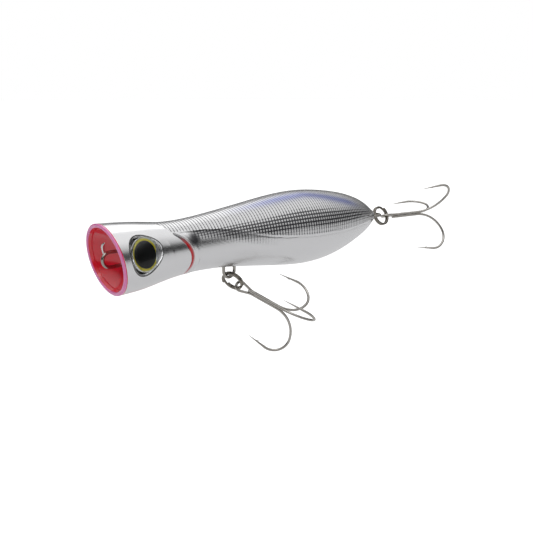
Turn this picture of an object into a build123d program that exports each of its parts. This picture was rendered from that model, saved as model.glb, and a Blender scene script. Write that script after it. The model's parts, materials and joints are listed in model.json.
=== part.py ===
"""Topwater popper: a hollow two-shell lure with a cupped mouth, through-wire, rings and trebles.

Millimetres, +Z up. The head points towards -X and the lure's left side faces -Y. The origin is
the centre of the nose line eye, where the line is tied.
"""

import math
import os

from build123d import *

# ---- driving dimensions -------------------------------------------------------------------
# Body outline: distance behind the mouth's centre, height of the back, depth of the belly.
OUTLINE = (
    (-3.0, 11.5, 11.9),
    (0.0, 11.3, 11.5),
    (10.0, 10.6, 10.9),
    (20.0, 9.5, 9.3),
    (30.0, 9.6, 8.4),
    (42.0, 10.8, 8.7),
    (55.0, 12.4, 10.1),
    (68.0, 13.9, 11.8),
    (80.0, 14.3, 12.7),
    (92.0, 13.1, 11.6),
    (104.0, 10.5, 8.4),
    (112.0, 7.2, 5.4),
    (117.0, 4.1, 2.9),
    (120.0, 2.2, 0.9),
)
CAVITY_FROM = 20.0  # the hollow starts behind the solid head
CAVITY_TO = 104.0  # and ends ahead of the solid tail
WIDTH_RATIO = 0.958  # body width over body height
WALL = 1.7
MOUTH_X = -1.6  # mouth's centre, measured from the line eye
MOUTH_TILT = 10.5  # degrees, upper lip forward

CUP_DEPTH = 7.0
CUP_RADIUS = 10.4
CUP_WALL = 0.8
LIP = 0.9  # the cup's rim covers the front of both shells
CUP_SEAT_RADIUS = 10.35

WIRE_RADIUS = 0.55
WIRE_FIT = 0.05  # radial room in the moulded wire channel
LOOP_RADIUS = 2.3  # nose and belly loops, to the wire's centre
TAIL_LOOP_RADIUS = 2.2
NOSE_LEG_END = 14.0  # the wire's front end, buried in the head
HANGER_X = 45.6  # belly loop
HANGER_Z = -10.6
RUN_Z = 0.5  # the straight run through the body
TAIL_LOOP_X = 119.5
TAIL_LEG = 12.0
SHIFT_BEND = 6.0  # radius of the two bends that move the wire aside, ahead of the tail loop

EYE_AT = (7.3, 2.3)  # centre of each eye, X and Z
EYE_STATION = 10.0  # the outline's row whose section the eye lies on
EYE_LEAN = (0.1, 0.05)  # slope of the eye's face towards the tail, and of its long axis
EYE_SEAT = (5.65, 5.9)  # half length and half height of the recess
EYE_BEAD = (4.8, 5.3)  # half length and half height of the eye's bead
EYE_DEPTH = 2.2
EYE_FIT = 0.02
IRIS_THICKNESS = 0.5
LENS_SKIRT = 0.4  # upright edge below the dome
LENS_RISE = 0.25  # the dome's top above the skin

GILL_CENTRE = (14.7, -3.0)  # X and Z of the arc of the gill slot
GILL_RADIUS = 10.4
GILL_WIDTH = 1.3
GILL_DEPTH = 0.8
GILL_RISE = (-7.6, 6.9)  # lowest and highest Z
GILL_STATIONS = (10.0, 42.0)  # the outline's rows that the slot's floor is drawn in from

BULKHEADS = (33.0, 57.0, 86.0, 97.0)  # middle of each rib, behind the mouth
BULKHEAD = 1.6
HANGER_BLOCK = (41.0, 53.5)  # solid round the belly loop
RECESS = (9.0, 3.2)  # belly recess: length and width
RECESS_FLOOR = -7.0  # Z
LOCATING_PINS = ((14.0, 6.5), (14.0, -6.5), (46.0, 6.0), (108.0, 3.6))
PIN_RADIUS = 0.9
PIN_LENGTH = 2.0
PIN_FIT = 0.05
PIN_HOLE_SPARE = 0.3  # the holes are this much deeper than the pins

TUBE_RADIUS = 3.2  # rattle tube
TUBE_BORE = 2.5
TUBE_FROM = 55.0  # behind the mouth
TUBE_Z = 6.3
PLUG_LENGTH = 2.0
BALL_RADIUS = 2.4
BALL_TRAVEL = 13.5
BALL_GAP = 0.05
BALLS = 3

BELLY_SLUG = (3.2, 55.5, 71.5, -4.9)  # radius, start and end behind the mouth, Z
TAIL_SLUG = (3.6, 87.5, 99.0, -4.0)

RING_RADIUS = 3.55  # split ring, to the wire's centre
RING_WIRE = (0.78, 0.66)  # radial and axial size of the ring's flattened wire
RING_EDGE = 0.2  # radius of its edges
RING_PITCH = 0.70
RING_TURNS = 1.93

HOOK_WIRE = 0.95  # diameter of the hook wire
HOOK_EYE_RADIUS = 1.6  # to the wire's centre
HOOK_EYE_TAPER = 15.0  # degrees, each side of the eye towards the shank
HOOK_EYE_BLEND = 6.0
HOOK_SHANK = 14.9  # eye's centre to the start of the bend
HOOK_FLARE = (10.85, 74.5)  # radius and degrees of the first arc of the bend
HOOK_BEND = (5.48, 113.9)  # radius and degrees of the second arc
HOOK_POINT = 7.7  # length of the tapered point
HOOK_TIP_RADIUS = 0.06
HOOK_GAP = 0.03  # the shanks stand this far apart, filled with braze
BARB_AT = 3.3  # its root on the point's axis, from the tip
BARB_LENGTH = 1.7
BARB_RADII = (0.16, 0.05)  # root and end
BARB_LIFT = 24.0  # degrees
SHORT_SHANK_FROM = 2.9  # front end of the single hook's shank
BRAZE = (5.4, 11.4)  # braze along the shanks, from the eye's centre
BRAZE_RADIUS = 0.86

# How the rings and trebles hang: degrees.
BELLY_RING_POSE = (-9.7, 12.6, -28.2)  # swing about X, yaw about Z, tilt about Y
BELLY_RING_SIDE = -44.3  # the hook's place round the ring, from straight away from the wire
BELLY_HOOK_POSE = (-33.9, -31.7, 87.2)  # azimuth, elevation, roll of the single hook
TAIL_RING_POSE = (19.5, -24.1, -0.6)  # swing about Y, yaw about X, tilt about Z
TAIL_RING_SIDE = 8.7
TAIL_HOOK_POSE = (-18.2, 1.9, 157.2)
RING_IN_HANGER = Vector(45.41, 0, -11.28)  # ring's wire inside the belly loop
RING_IN_TAIL = Vector(120.02, 0, 0.94)  # ring's wire inside the tail loop
EYE_PAST_RING = 0.15  # the hook's eye centre lies this far ahead of the ring's wire

BEYOND = 60.0  # longer than the body is wide or tall, for cutting shapes
DOWN = Vector(0, 0, -1)
REARWARD = Vector(1, 0, 0)
LEFT = Vector(0, -1, 0)


# ---- helpers ------------------------------------------------------------------------------
def disc(radius, at, along):
    """Gives a round face square to a direction."""
    return Plane(origin=at, z_dir=along) * Circle(radius)


def rod(radius, start, end):
    """Gives a cylinder from one point to another."""
    start, end = Vector(start), Vector(end)
    return extrude(disc(radius, start, end - start), (end - start).length)


def bent(start, heading, side, moves):
    """Follows a bent wire: each move is a straight length or a (radius, degrees) arc to the side.

    Gives the edges and the end's point, heading and side.
    """
    point, heading, side = Vector(start), Vector(heading).normalized(), Vector(side).normalized()
    edges = []
    for move in moves:
        if isinstance(move, tuple):
            radius, degrees = move
            turn = math.radians(abs(degrees))
            way = side if degrees > 0 else -side
            centre = point + way * radius
            middle = centre - way * radius * math.cos(turn / 2) + heading * radius * math.sin(turn / 2)
            end = centre - way * radius * math.cos(turn) + heading * radius * math.sin(turn)
            edges.append(Edge.make_three_point_arc(point, middle, end))
            new_heading = heading * math.cos(turn) + way * math.sin(turn)
            new_way = way * math.cos(turn) - heading * math.sin(turn)
            point, heading = end, new_heading
            side = new_way if degrees > 0 else -new_way
        else:
            end = point + heading * move
            edges.append(Edge.make_line(point, end))
            point = end
    return edges, point, heading, side


def wire_solid(edges, radius):
    """Sweeps a round wire along joined edges."""
    path = Wire(edges)
    return sweep(disc(radius, path @ 0, path % 0), path=path)


def mirrored(shape):
    """Gives the right-hand copy of a left-hand shape."""
    return mirror(shape, about=Plane.XZ)


def write(name, shape):
    """Writes one sub-part."""
    export_step(shape, f"parts/{name}.step")


# ---- body ---------------------------------------------------------------------------------
def body_section(distance, back, belly, inset=0.0):
    """Gives the body's elliptical section at one place, drawn in by an inset."""
    half = (back + belly) / 2
    plane = Plane(
        origin=(MOUTH_X + distance, 0, (back - belly) / 2), x_dir=(0, 1, 0), z_dir=(1, 0, 0)
    )
    return plane * Ellipse(WIDTH_RATIO * half - inset, half - inset)


def mouth_plane(depth=0.0):
    """Gives the slanted plane of the mouth, or one parallel to it inside the head."""
    tilt = math.radians(MOUTH_TILT)
    forward = Vector(-math.cos(tilt), 0, -math.sin(tilt))
    origin = Vector(MOUTH_X, 0, 0) - forward * depth
    return Plane(origin=origin, x_dir=(0, 1, 0), z_dir=forward)


def outer_body():
    """Gives the full outer shape, cut off at the mouth."""
    whole = loft([body_section(*row) for row in OUTLINE])
    return split(whole, bisect_by=mouth_plane(), keep=Keep.BOTTOM)


def inner_body(inset, start, end):
    """Gives the outer shape drawn in by an inset, between two stations."""
    return loft([body_section(*row, inset=inset) for row in OUTLINE if start <= row[0] <= end])


def bowl(grow):
    """Gives the ball that hollows the mouth, grown by a wall, and squeezed as the body is."""
    ball_radius = (CUP_RADIUS**2 + CUP_DEPTH**2) / (2 * CUP_DEPTH)
    ball = scale(Sphere(ball_radius + grow), by=(WIDTH_RATIO, 1, 1))
    return mouth_plane(CUP_DEPTH - ball_radius).location * ball


def cup_blank(body):
    """Gives the mouth cup with its hollow still filled: a rim over the shells and a bowl."""
    rim = split(body, bisect_by=mouth_plane(LIP), keep=Keep.TOP)
    seat_face = mouth_plane() * Ellipse(CUP_SEAT_RADIUS * WIDTH_RATIO, CUP_SEAT_RADIUS)
    seat = extrude(seat_face, -2 * CUP_DEPTH)
    return rim + (seat & bowl(CUP_WALL))


def through_wire_edges():
    """Follows the wire: nose loop, belly loop, straight run, step aside and level tail loop."""
    down_turn = LOOP_RADIUS
    lower_run = HANGER_X - LOOP_RADIUS - down_turn
    drop = -HANGER_Z - LOOP_RADIUS - down_turn
    rise = RUN_Z - HANGER_Z - down_turn
    shift = TAIL_LOOP_RADIUS
    shift_degrees = math.degrees(math.acos(1 - shift / (2 * SHIFT_BEND)))
    shift_run = 2 * SHIFT_BEND * math.sin(math.radians(shift_degrees))
    run_end = TAIL_LOOP_X - TAIL_LEG - shift_run
    run = run_end - (HANGER_X + LOOP_RADIUS + down_turn)
    front, point, heading, side = bent(
        (NOSE_LEG_END, 0, LOOP_RADIUS),
        (-1, 0, 0),
        (0, 0, -1),
        [
            NOSE_LEG_END,
            (LOOP_RADIUS, 180),
            lower_run,
            (down_turn, -90),
            drop,
            (LOOP_RADIUS, 180),
            rise,
            (down_turn, -90),
            run,
        ],
    )
    aside = (SHIFT_BEND, shift_degrees)
    straight_again = (SHIFT_BEND, -shift_degrees)
    tail_loop = (TAIL_LOOP_RADIUS, -180)
    rear, *_ = bent(point, heading, LEFT, [aside, straight_again, TAIL_LEG, tail_loop, TAIL_LEG])
    return front + rear


def lengthwise(distance_from, distance_to, radius, z):
    """Gives a rod along the body between two distances behind the mouth."""
    return rod(radius, (MOUTH_X + distance_from, 0, z), (MOUTH_X + distance_to, 0, z))


def cavity():
    """Gives the hollow inside both shells, with the ribs and the hanger block left solid."""
    hollow = inner_body(WALL, CAVITY_FROM, CAVITY_TO)
    for middle in BULKHEADS:
        hollow -= Pos(MOUTH_X + middle, 0, 0) * Box(BULKHEAD, BEYOND, BEYOND)
    block_from, block_to = HANGER_BLOCK
    block_middle = MOUTH_X + (block_from + block_to) / 2
    return hollow - Pos(block_middle, 0, 0) * Box(block_to - block_from, BEYOND, BEYOND)


def eye_plane():
    """Gives the left eye's plane on the skin, facing outwards."""
    back, belly = [row[1:] for row in OUTLINE if row[0] == EYE_STATION][0]
    half = (back + belly) / 2
    middle = (back - belly) / 2
    height = EYE_AT[1] - middle
    width = WIDTH_RATIO * half
    y = -width * math.sqrt(1 - (height / half) ** 2)
    outward = Vector(EYE_LEAN[0], y / width**2 * half, height / half)
    return Plane(origin=(EYE_AT[0], y, EYE_AT[1]), x_dir=(1, 0, EYE_LEAN[1]), z_dir=outward)


def eye_recess():
    """Gives the left eye's recess."""
    face = eye_plane().offset(-EYE_DEPTH) * Ellipse(*EYE_SEAT)
    return extrude(face, 3 * EYE_DEPTH)


def iris():
    """Gives the left eye's printed disc, on the floor of its recess."""
    return extrude(eye_plane().offset(EYE_FIT - EYE_DEPTH) * Ellipse(*EYE_BEAD), IRIS_THICKNESS)


def lens():
    """Gives the left eye's clear dome, on the iris."""
    floor = EYE_FIT - EYE_DEPTH + IRIS_THICKNESS
    rise = LENS_RISE - floor
    half_length, half_height = EYE_BEAD
    crown = rise - LENS_SKIRT
    ball_radius = (half_length**2 + crown**2) / (2 * crown)
    ball = Pos(0, 0, rise - ball_radius) * Sphere(ball_radius)
    dome = ball & Pos(0, 0, rise / 2) * Cylinder(half_length, rise)
    return eye_plane().offset(floor).location * scale(dome, by=(1, half_height / half_length, 1))


def gill_slot(body):
    """Gives the curved slot behind the head, on both sides."""
    outer, inner = GILL_RADIUS + GILL_WIDTH / 2, GILL_RADIUS - GILL_WIDTH / 2
    ring = Cylinder(outer, BEYOND) - Cylinder(inner, BEYOND)
    ring = Pos(GILL_CENTRE[0], 0, GILL_CENTRE[1]) * Rot(90, 0, 0) * ring
    low, high = GILL_RISE
    window = Pos(GILL_CENTRE[0] + BEYOND / 2, 0, (low + high) / 2) * Box(BEYOND, BEYOND, high - low)
    skin = body - inner_body(GILL_DEPTH, *GILL_STATIONS)
    return skin & (ring & window)


def belly_recess():
    """Gives the shallow recess where the belly loop leaves the body."""
    deep = 3
    return Pos(HANGER_X, 0, RECESS_FLOOR - deep) * extrude(SlotOverall(*RECESS), deep)


def shells(body, blank, channel):
    """Gives the left and right shells."""
    hollowed = body - blank - cavity() - channel - gill_slot(body) - belly_recess()
    hollowed -= lengthwise(*tube_span(), TUBE_RADIUS, TUBE_Z)
    for radius, start, end, z in (BELLY_SLUG, TAIL_SLUG):
        hollowed -= lengthwise(start, end, radius, z)
    hollowed = hollowed - eye_recess() - mirrored(eye_recess())
    left = split(hollowed, bisect_by=Plane.XZ, keep=Keep.TOP)
    right = split(hollowed, bisect_by=Plane.XZ, keep=Keep.BOTTOM)
    if left.center().Y > 0:
        left, right = right, left
    for x, z in LOCATING_PINS:
        left += rod(PIN_RADIUS, (x, -PIN_LENGTH, z), (x, PIN_LENGTH, z))
        right -= rod(PIN_RADIUS + PIN_FIT, (x, -PIN_FIT, z), (x, PIN_LENGTH + PIN_HOLE_SPARE, z))
    return left, right


# ---- rattle tube --------------------------------------------------------------------------
def tube_span():
    """Gives where the rattle tube starts and ends: plugs, balls and the balls' travel in a row."""
    balls = BALLS * 2 * BALL_RADIUS + (BALLS + 1) * BALL_GAP
    return TUBE_FROM, TUBE_FROM + 2 * PLUG_LENGTH + balls + BALL_TRAVEL


def rattle_parts():
    """Gives the tube, its two plugs and the three balls, at the rear end of their travel."""
    start, end = tube_span()
    bore = lengthwise(start, end, TUBE_BORE, TUBE_Z)
    tube = lengthwise(start, end, TUBE_RADIUS, TUBE_Z) - bore
    plugs = (
        lengthwise(start, start + PLUG_LENGTH, TUBE_BORE, TUBE_Z),
        lengthwise(end - PLUG_LENGTH, end, TUBE_BORE, TUBE_Z),
    )
    first = MOUTH_X + end - PLUG_LENGTH - BALL_RADIUS - BALL_GAP
    step = 2 * BALL_RADIUS + BALL_GAP
    balls = [Pos(first - i * step, 0, TUBE_Z) * Sphere(BALL_RADIUS) for i in range(BALLS)]
    return tube, plugs, balls


# ---- split rings and treble hooks ---------------------------------------------------------
def ring_frame(side_of_lure):
    """Gives a hung ring's centre, its normal and the direction from the wire to its centre."""
    if side_of_lure == "belly":
        swing, yaw, tilt = BELLY_RING_POSE
        turns = ((Axis.Y, tilt), (Axis.Z, yaw), (Axis.X, swing))
        held, normal, away = RING_IN_HANGER, REARWARD, DOWN
    else:
        swing, yaw, tilt = TAIL_RING_POSE
        turns = ((Axis.Z, tilt), (Axis.X, yaw), (Axis.Y, swing))
        held, normal, away = RING_IN_TAIL, LEFT, REARWARD
    for axis, degrees in turns:
        normal = normal.rotate(axis, degrees)
        away = away.rotate(axis, degrees)
    return held + away * RING_RADIUS, normal, away


def hook_frame(side_of_lure):
    """Gives a treble's eye centre, shank direction, single hook's direction and hinge axis."""
    centre, normal, away = ring_frame(side_of_lure)
    around = BELLY_RING_SIDE if side_of_lure == "belly" else TAIL_RING_SIDE
    azimuth, elevation, roll = BELLY_HOOK_POSE if side_of_lure == "belly" else TAIL_HOOK_POSE
    across = normal.cross(away)
    turn = math.radians(around)
    outward = away * math.cos(turn) + across * math.sin(turn)
    ring_wire = centre + outward * RING_RADIUS
    azimuth, elevation, roll = (math.radians(a) for a in (azimuth, elevation, roll))
    shank = Vector(
        math.cos(azimuth) * math.cos(elevation),
        math.sin(azimuth) * math.cos(elevation),
        math.sin(elevation),
    )
    first = shank.cross(Vector(0, 1, 0)).normalized()
    second = shank.cross(first)
    single = first * math.cos(roll) + second * math.sin(roll)
    return ring_wire - shank * EYE_PAST_RING, shank, single, ring_wire, normal.cross(outward)


def split_ring(side_of_lure):
    """Gives a hung split ring: a flattened wire wound nearly twice."""
    centre, normal, away = ring_frame(side_of_lure)
    height = RING_PITCH * RING_TURNS
    helix = Pos(0, 0, -height / 2) * Helix(pitch=RING_PITCH, height=height, radius=RING_RADIUS)
    start = helix @ 0
    square = Plane(origin=start, x_dir=(1, 0, 0), z_dir=helix % 0)
    section = square * RectangleRounded(*RING_WIRE, RING_EDGE)
    coil = sweep(section, path=helix, is_frenet=True)
    # The coil's ends lie on the side away from both of its neighbours.
    return Plane(origin=centre, x_dir=normal.cross(away), z_dir=normal).location * coil


def hook_arm(direction, shank_from, to_eye=None):
    """Gives one hook of a treble in the treble's own frame: shank along +X, eye at the origin."""
    offset = (HOOK_WIRE + HOOK_GAP) / math.sqrt(3)
    start = Vector(shank_from, 0, 0) + direction * offset
    edges, point, heading, side = bent(
        start, REARWARD, direction, [HOOK_SHANK - shank_from, HOOK_FLARE, HOOK_BEND]
    )
    return (to_eye or []) + edges, point, heading, side


def hook_point(point, heading, side):
    """Gives the tapered point and its barb, from the end of the bend."""
    needle = Pos(0, 0, HOOK_POINT / 2) * Cone(HOOK_WIRE / 2, HOOK_TIP_RADIUS, HOOK_POINT)
    needle = Plane(origin=point, z_dir=heading).location * needle
    lift = math.radians(BARB_LIFT)
    root = point + heading * (HOOK_POINT - BARB_AT)
    back = side * math.sin(lift) - heading * math.cos(lift)
    barb = Pos(0, 0, BARB_LENGTH / 2) * Cone(*BARB_RADII, BARB_LENGTH)
    return needle + Plane(origin=root, z_dir=back).location * barb


def treble_directions():
    """Gives the three hooks' directions round the shank: single hook first."""
    angles = (90, 210, 330)
    return [Vector(0, math.cos(math.radians(a)), math.sin(math.radians(a))) for a in angles]


def double_hook():
    """Gives the two hooks bent from one wire that loops into the treble's eye."""
    _, left_way, right_way = treble_directions()
    taper = math.radians(HOOK_EYE_TAPER)
    half_gap = (HOOK_WIRE + HOOK_GAP) / 2
    plane_z = -half_gap / math.sqrt(3)
    narrowing = HOOK_EYE_RADIUS * math.cos(taper) - half_gap - HOOK_EYE_BLEND * (1 - math.cos(taper))
    straight = narrowing / math.sin(taper)
    parts = []
    for way in (left_way, right_way):
        lateral = Vector(0, math.copysign(1, way.Y), 0)
        far_end = Vector(-HOOK_EYE_RADIUS, 0, plane_z)
        eye, end, *_ = bent(
            far_end,
            lateral,
            REARWARD,
            [
                (HOOK_EYE_RADIUS, 90 + HOOK_EYE_TAPER),
                straight,
                (HOOK_EYE_BLEND, -HOOK_EYE_TAPER),
            ],
        )
        edges, point, heading, side = hook_arm(way, end.X)
        parts.append(wire_solid(eye + edges, HOOK_WIRE / 2))
        parts.append(hook_point(point, heading, side))
    return parts[0] + parts[1] + parts[2] + parts[3]


def single_hook():
    """Gives the third hook, with its short shank."""
    way = treble_directions()[0]
    edges, point, heading, side = hook_arm(way, SHORT_SHANK_FROM)
    return wire_solid(edges, HOOK_WIRE / 2) + hook_point(point, heading, side)


def braze(double, single):
    """Gives the solder that fills the grooves between the three shanks."""
    start, end = BRAZE
    fill = rod(BRAZE_RADIUS, (start, 0, 0), (end, 0, 0))
    return fill - double - single


def hang_treble(side_of_lure, pieces):
    """Moves a treble's pieces from their own frame to where they hang."""
    eye, shank, single, *_ = hook_frame(side_of_lure)
    place = Plane(origin=eye, x_dir=shank, z_dir=single).location
    return [place * piece for piece in pieces]


# ---- build --------------------------------------------------------------------------------
def main():
    """Builds and writes every sub-part."""
    os.makedirs("parts", exist_ok=True)
    body = outer_body()
    blank = cup_blank(body)
    edges = through_wire_edges()
    wire = wire_solid(edges, WIRE_RADIUS)
    channel = wire_solid(edges, WIRE_RADIUS + WIRE_FIT)
    left, right = shells(body, blank, channel)
    write("shell_left", left)
    write("shell_right", right)
    write("mouth_cup", blank - bowl(0) - channel)
    write("through_wire", wire)

    write("iris_left", iris())
    write("iris_right", mirrored(iris()))
    write("eye_lens_left", lens())
    write("eye_lens_right", mirrored(lens()))

    write("belly_weight", lengthwise(BELLY_SLUG[1], BELLY_SLUG[2], BELLY_SLUG[0], BELLY_SLUG[3]))
    write("tail_weight", lengthwise(TAIL_SLUG[1], TAIL_SLUG[2], TAIL_SLUG[0], TAIL_SLUG[3]))
    tube, plugs, balls = rattle_parts()
    write("rattle_tube", tube)
    for name, plug in zip(("front", "rear"), plugs):
        write(f"tube_plug_{name}", plug)
    for name, ball in zip(("rear", "middle", "front"), balls):
        write(f"rattle_ball_{name}", ball)

    double, single = double_hook(), single_hook()
    solder = braze(double, single)
    for side_of_lure in ("belly", "tail"):
        write(f"{side_of_lure}_split_ring", split_ring(side_of_lure))
        hung = hang_treble(side_of_lure, (double, single, solder))
        for name, piece in zip(("double_hook", "single_hook", "hook_braze"), hung):
            write(f"{side_of_lure}_{name}", piece)


if __name__ == "__main__":
    main()
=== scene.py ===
"""Topwater popper lure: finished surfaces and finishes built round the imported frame.

Lengths are in millimetres while a shape is worked out and turn to metres when its mesh is made.
The head points towards -X, the lure's left side faces -Y and +Z is its back.
"""

import json
import logging
import math
from dataclasses import dataclass, field
from enum import Enum

import bmesh
import bpy
import numpy as np
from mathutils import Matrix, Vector
from mathutils.bvhtree import BVHTree


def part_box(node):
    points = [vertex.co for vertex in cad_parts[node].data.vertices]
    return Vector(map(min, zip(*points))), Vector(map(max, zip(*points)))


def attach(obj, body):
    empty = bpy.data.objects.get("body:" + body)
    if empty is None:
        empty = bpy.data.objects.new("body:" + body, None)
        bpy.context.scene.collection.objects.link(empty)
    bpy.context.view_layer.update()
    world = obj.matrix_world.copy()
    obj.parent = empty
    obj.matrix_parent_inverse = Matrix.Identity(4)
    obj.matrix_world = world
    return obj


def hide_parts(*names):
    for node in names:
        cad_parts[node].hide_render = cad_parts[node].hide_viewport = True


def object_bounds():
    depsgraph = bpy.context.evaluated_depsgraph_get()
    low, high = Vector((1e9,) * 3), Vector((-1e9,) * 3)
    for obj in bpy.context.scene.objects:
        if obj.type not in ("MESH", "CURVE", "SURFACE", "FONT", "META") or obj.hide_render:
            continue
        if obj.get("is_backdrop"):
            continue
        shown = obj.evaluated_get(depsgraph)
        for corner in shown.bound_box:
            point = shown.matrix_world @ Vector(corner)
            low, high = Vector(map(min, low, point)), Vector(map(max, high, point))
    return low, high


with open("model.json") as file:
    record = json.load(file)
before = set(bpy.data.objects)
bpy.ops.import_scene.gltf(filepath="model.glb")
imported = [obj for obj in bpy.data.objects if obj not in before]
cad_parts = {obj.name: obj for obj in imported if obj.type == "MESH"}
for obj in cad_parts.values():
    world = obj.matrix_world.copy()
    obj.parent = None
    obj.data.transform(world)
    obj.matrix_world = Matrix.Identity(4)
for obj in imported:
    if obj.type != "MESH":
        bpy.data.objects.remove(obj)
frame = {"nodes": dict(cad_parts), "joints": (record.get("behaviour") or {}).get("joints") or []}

Array = np.ndarray
Socket = bpy.types.NodeSocket
MM = 0.001
CLOUD_SHARE = 0.06
HANGER_JOINT = "belly_ring_swing"
TAIL_JOINT = "tail_ring_swing"
BELLY_RECESS_REACH = 6.5
LOG = logging.getLogger("popper")


class Side(Enum):
    """The two sides of the lure, as the sign of Y."""

    LEFT = -1
    RIGHT = 1


class Hanger(Enum):
    """The two places where a ring and a treble hang."""

    BELLY = "belly"
    TAIL = "tail"


# ---- shapes -------------------------------------------------------------------------------
def smooth_step(low: float, high: float, value: Array) -> Array:
    """Eases from 0 at low to 1 at high: t squared times (3 - 2t), with t held from 0 to 1."""
    t = np.clip((value - low) / (high - low), 0.0, 1.0)
    return t * t * (3 - 2 * t)


def swell(value: Array, width: float) -> Array:
    """Gives 1 at 0, fading on both sides: e to the power of -(value / width) squared."""
    return np.exp(-((value / width) ** 2))


def unit(vectors: Array) -> Array:
    """Gives vectors of length 1."""
    return vectors / np.maximum(np.linalg.norm(vectors, axis=-1, keepdims=True), 1e-12)


@dataclass
class Surface:
    """Points in millimetres, faces, and values from 0 to 1 kept at each point."""

    points: Array
    faces: list[Array]
    values: dict[str, Array] = field(default_factory=dict)

    @staticmethod
    def joined(parts: list["Surface"]) -> "Surface":
        """Gives one surface that holds several loose ones.

        Args:
            parts: surfaces without values.

        Returns:
            Their points one after another, with the faces renumbered.
        """
        starts = np.cumsum([0] + [len(part.points) for part in parts])
        faces = [group + start for part, start in zip(parts, starts) for group in part.faces]
        return Surface(np.concatenate([part.points for part in parts]), faces)

    def piece(self, name: str, body: str, slot: str, *replaced: str) -> bpy.types.Object:
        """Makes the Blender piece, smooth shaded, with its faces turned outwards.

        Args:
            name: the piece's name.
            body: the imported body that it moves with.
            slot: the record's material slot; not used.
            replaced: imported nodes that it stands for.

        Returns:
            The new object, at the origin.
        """
        mesh = bpy.data.meshes.new(name)
        corners = np.concatenate([group.ravel() for group in self.faces]).astype(np.int32)
        counts = np.concatenate([np.full(len(g), g.shape[1]) for g in self.faces])
        mesh.vertices.add(len(self.points))
        mesh.vertices.foreach_set("co", (self.points * MM).astype(np.float32).ravel())
        mesh.loops.add(len(corners))
        mesh.loops.foreach_set("vertex_index", corners)
        mesh.polygons.add(len(counts))
        starts = np.concatenate([[0], np.cumsum(counts)[:-1]]).astype(np.int32)
        mesh.polygons.foreach_set("loop_start", starts)
        for key, value in self.values.items():
            kind = "FLOAT_COLOR" if value.ndim == 2 else "FLOAT"
            layer = mesh.attributes.new(key, kind, "POINT")
            flat = np.concatenate([value, np.ones((len(value), 1))], 1) if value.ndim == 2 else value
            field_name = "color" if value.ndim == 2 else "value"
            layer.data.foreach_set(field_name, flat.astype(np.float32).ravel())
        mesh.update(calc_edges=True)
        mesh.validate()
        build = bmesh.new()
        build.from_mesh(mesh)
        bmesh.ops.recalc_face_normals(build, faces=build.faces)
        build.to_mesh(mesh)
        build.free()
        mesh.shade_smooth()
        thing = bpy.data.objects.new(name, mesh)
        bpy.context.scene.collection.objects.link(thing)
        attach(thing, body)
        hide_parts(*replaced)
        LOG.info("%s: %d points on body %s", name, len(self.points), body)
        return thing


def quads(rows: int, columns: int, wrap: bool = False, start: int = 0) -> Array:
    """Gives the four-cornered faces of a grid of points.

    Args:
        rows: how many rows of points.
        columns: how many points in a row.
        wrap: joins each row's last point to its first.
        start: the number of the grid's first point.

    Returns:
        One row of four point numbers for each face.
    """
    row = np.arange(rows - 1)[:, None] * columns
    here = np.arange(columns if wrap else columns - 1)[None, :]
    there = (here + 1) % columns
    cells = [row + here, row + there, row + columns + there, row + columns + here]
    return np.stack(np.broadcast_arrays(*cells), -1).reshape(-1, 4) + start


def fan(middle: int, ring: Array) -> Array:
    """Gives the triangles from one point to a closed ring of points."""
    return np.stack([np.full(len(ring), middle), ring, np.roll(ring, -1)], -1)


def zipped(first: Array, second: Array) -> Array:
    """Joins two rows of points of different lengths with triangles, both spread evenly.

    Each edge of one row takes the nearest point of the other row as its third corner.

    Args:
        first: point numbers along one row.
        second: point numbers along the other, the same way round.

    Returns:
        The triangles' point numbers.
    """
    a = np.linspace(0, 1, len(first))
    b = np.linspace(0, 1, len(second))
    reach = np.searchsorted((b[1:] + b[:-1]) / 2, (a[1:] + a[:-1]) / 2)
    from_first = np.stack([first[:-1], first[1:], second[reach]], -1)
    back = np.searchsorted(reach, np.arange(len(second) - 1), side="right")
    from_second = np.stack([second[:-1], second[1:], first[back]], -1)
    return np.concatenate([from_first, from_second])


def polar(rings: Array) -> Surface:
    """Closes a stack of rings into a surface, with a pole at the middle of each end ring."""
    count, around = rings.shape[:2]
    ends = np.stack([rings[0].mean(0), rings[-1].mean(0)])
    points = np.concatenate([rings.reshape(-1, 3), ends])
    last = count * around
    caps = [fan(last, np.arange(around)), fan(last + 1, np.arange(last - around, last))]
    return Surface(points, [quads(count, around, wrap=True), *caps])


def swept(path: Array, reference: Array, section: Array, size: Array) -> Surface:
    """Carries a closed section along a path.

    The tangent is the difference of the neighbouring points, the first side is the reference made
    square to it, and the second side is their cross product. A section point (a, b) lies at
    path + a * size * first side + b * size * second side.

    Args:
        path: points along the middle line.
        reference: a direction for each point, or one for all.
        section: pairs (a, b) round the section.
        size: a factor for each path point, or a pair of factors.

    Returns:
        The closed surface.
    """
    tangent = unit(np.gradient(path, axis=0))
    reference = np.broadcast_to(reference, path.shape)
    first = unit(reference - (reference * tangent).sum(1, keepdims=True) * tangent)
    second = np.cross(tangent, first)
    size = np.broadcast_to(size.reshape(len(path), -1), (len(path), 2))
    a = section[None, :, 0, None] * size[:, None, 0, None]
    b = section[None, :, 1, None] * size[:, None, 1, None]
    return polar(path[:, None] + a * first[:, None] + b * second[:, None])


def circle(sides: int) -> Array:
    """Gives a round section of radius 1."""
    turn = np.arange(sides) * 2 * math.pi / sides
    return np.stack([np.cos(turn), np.sin(turn)], 1)


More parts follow.
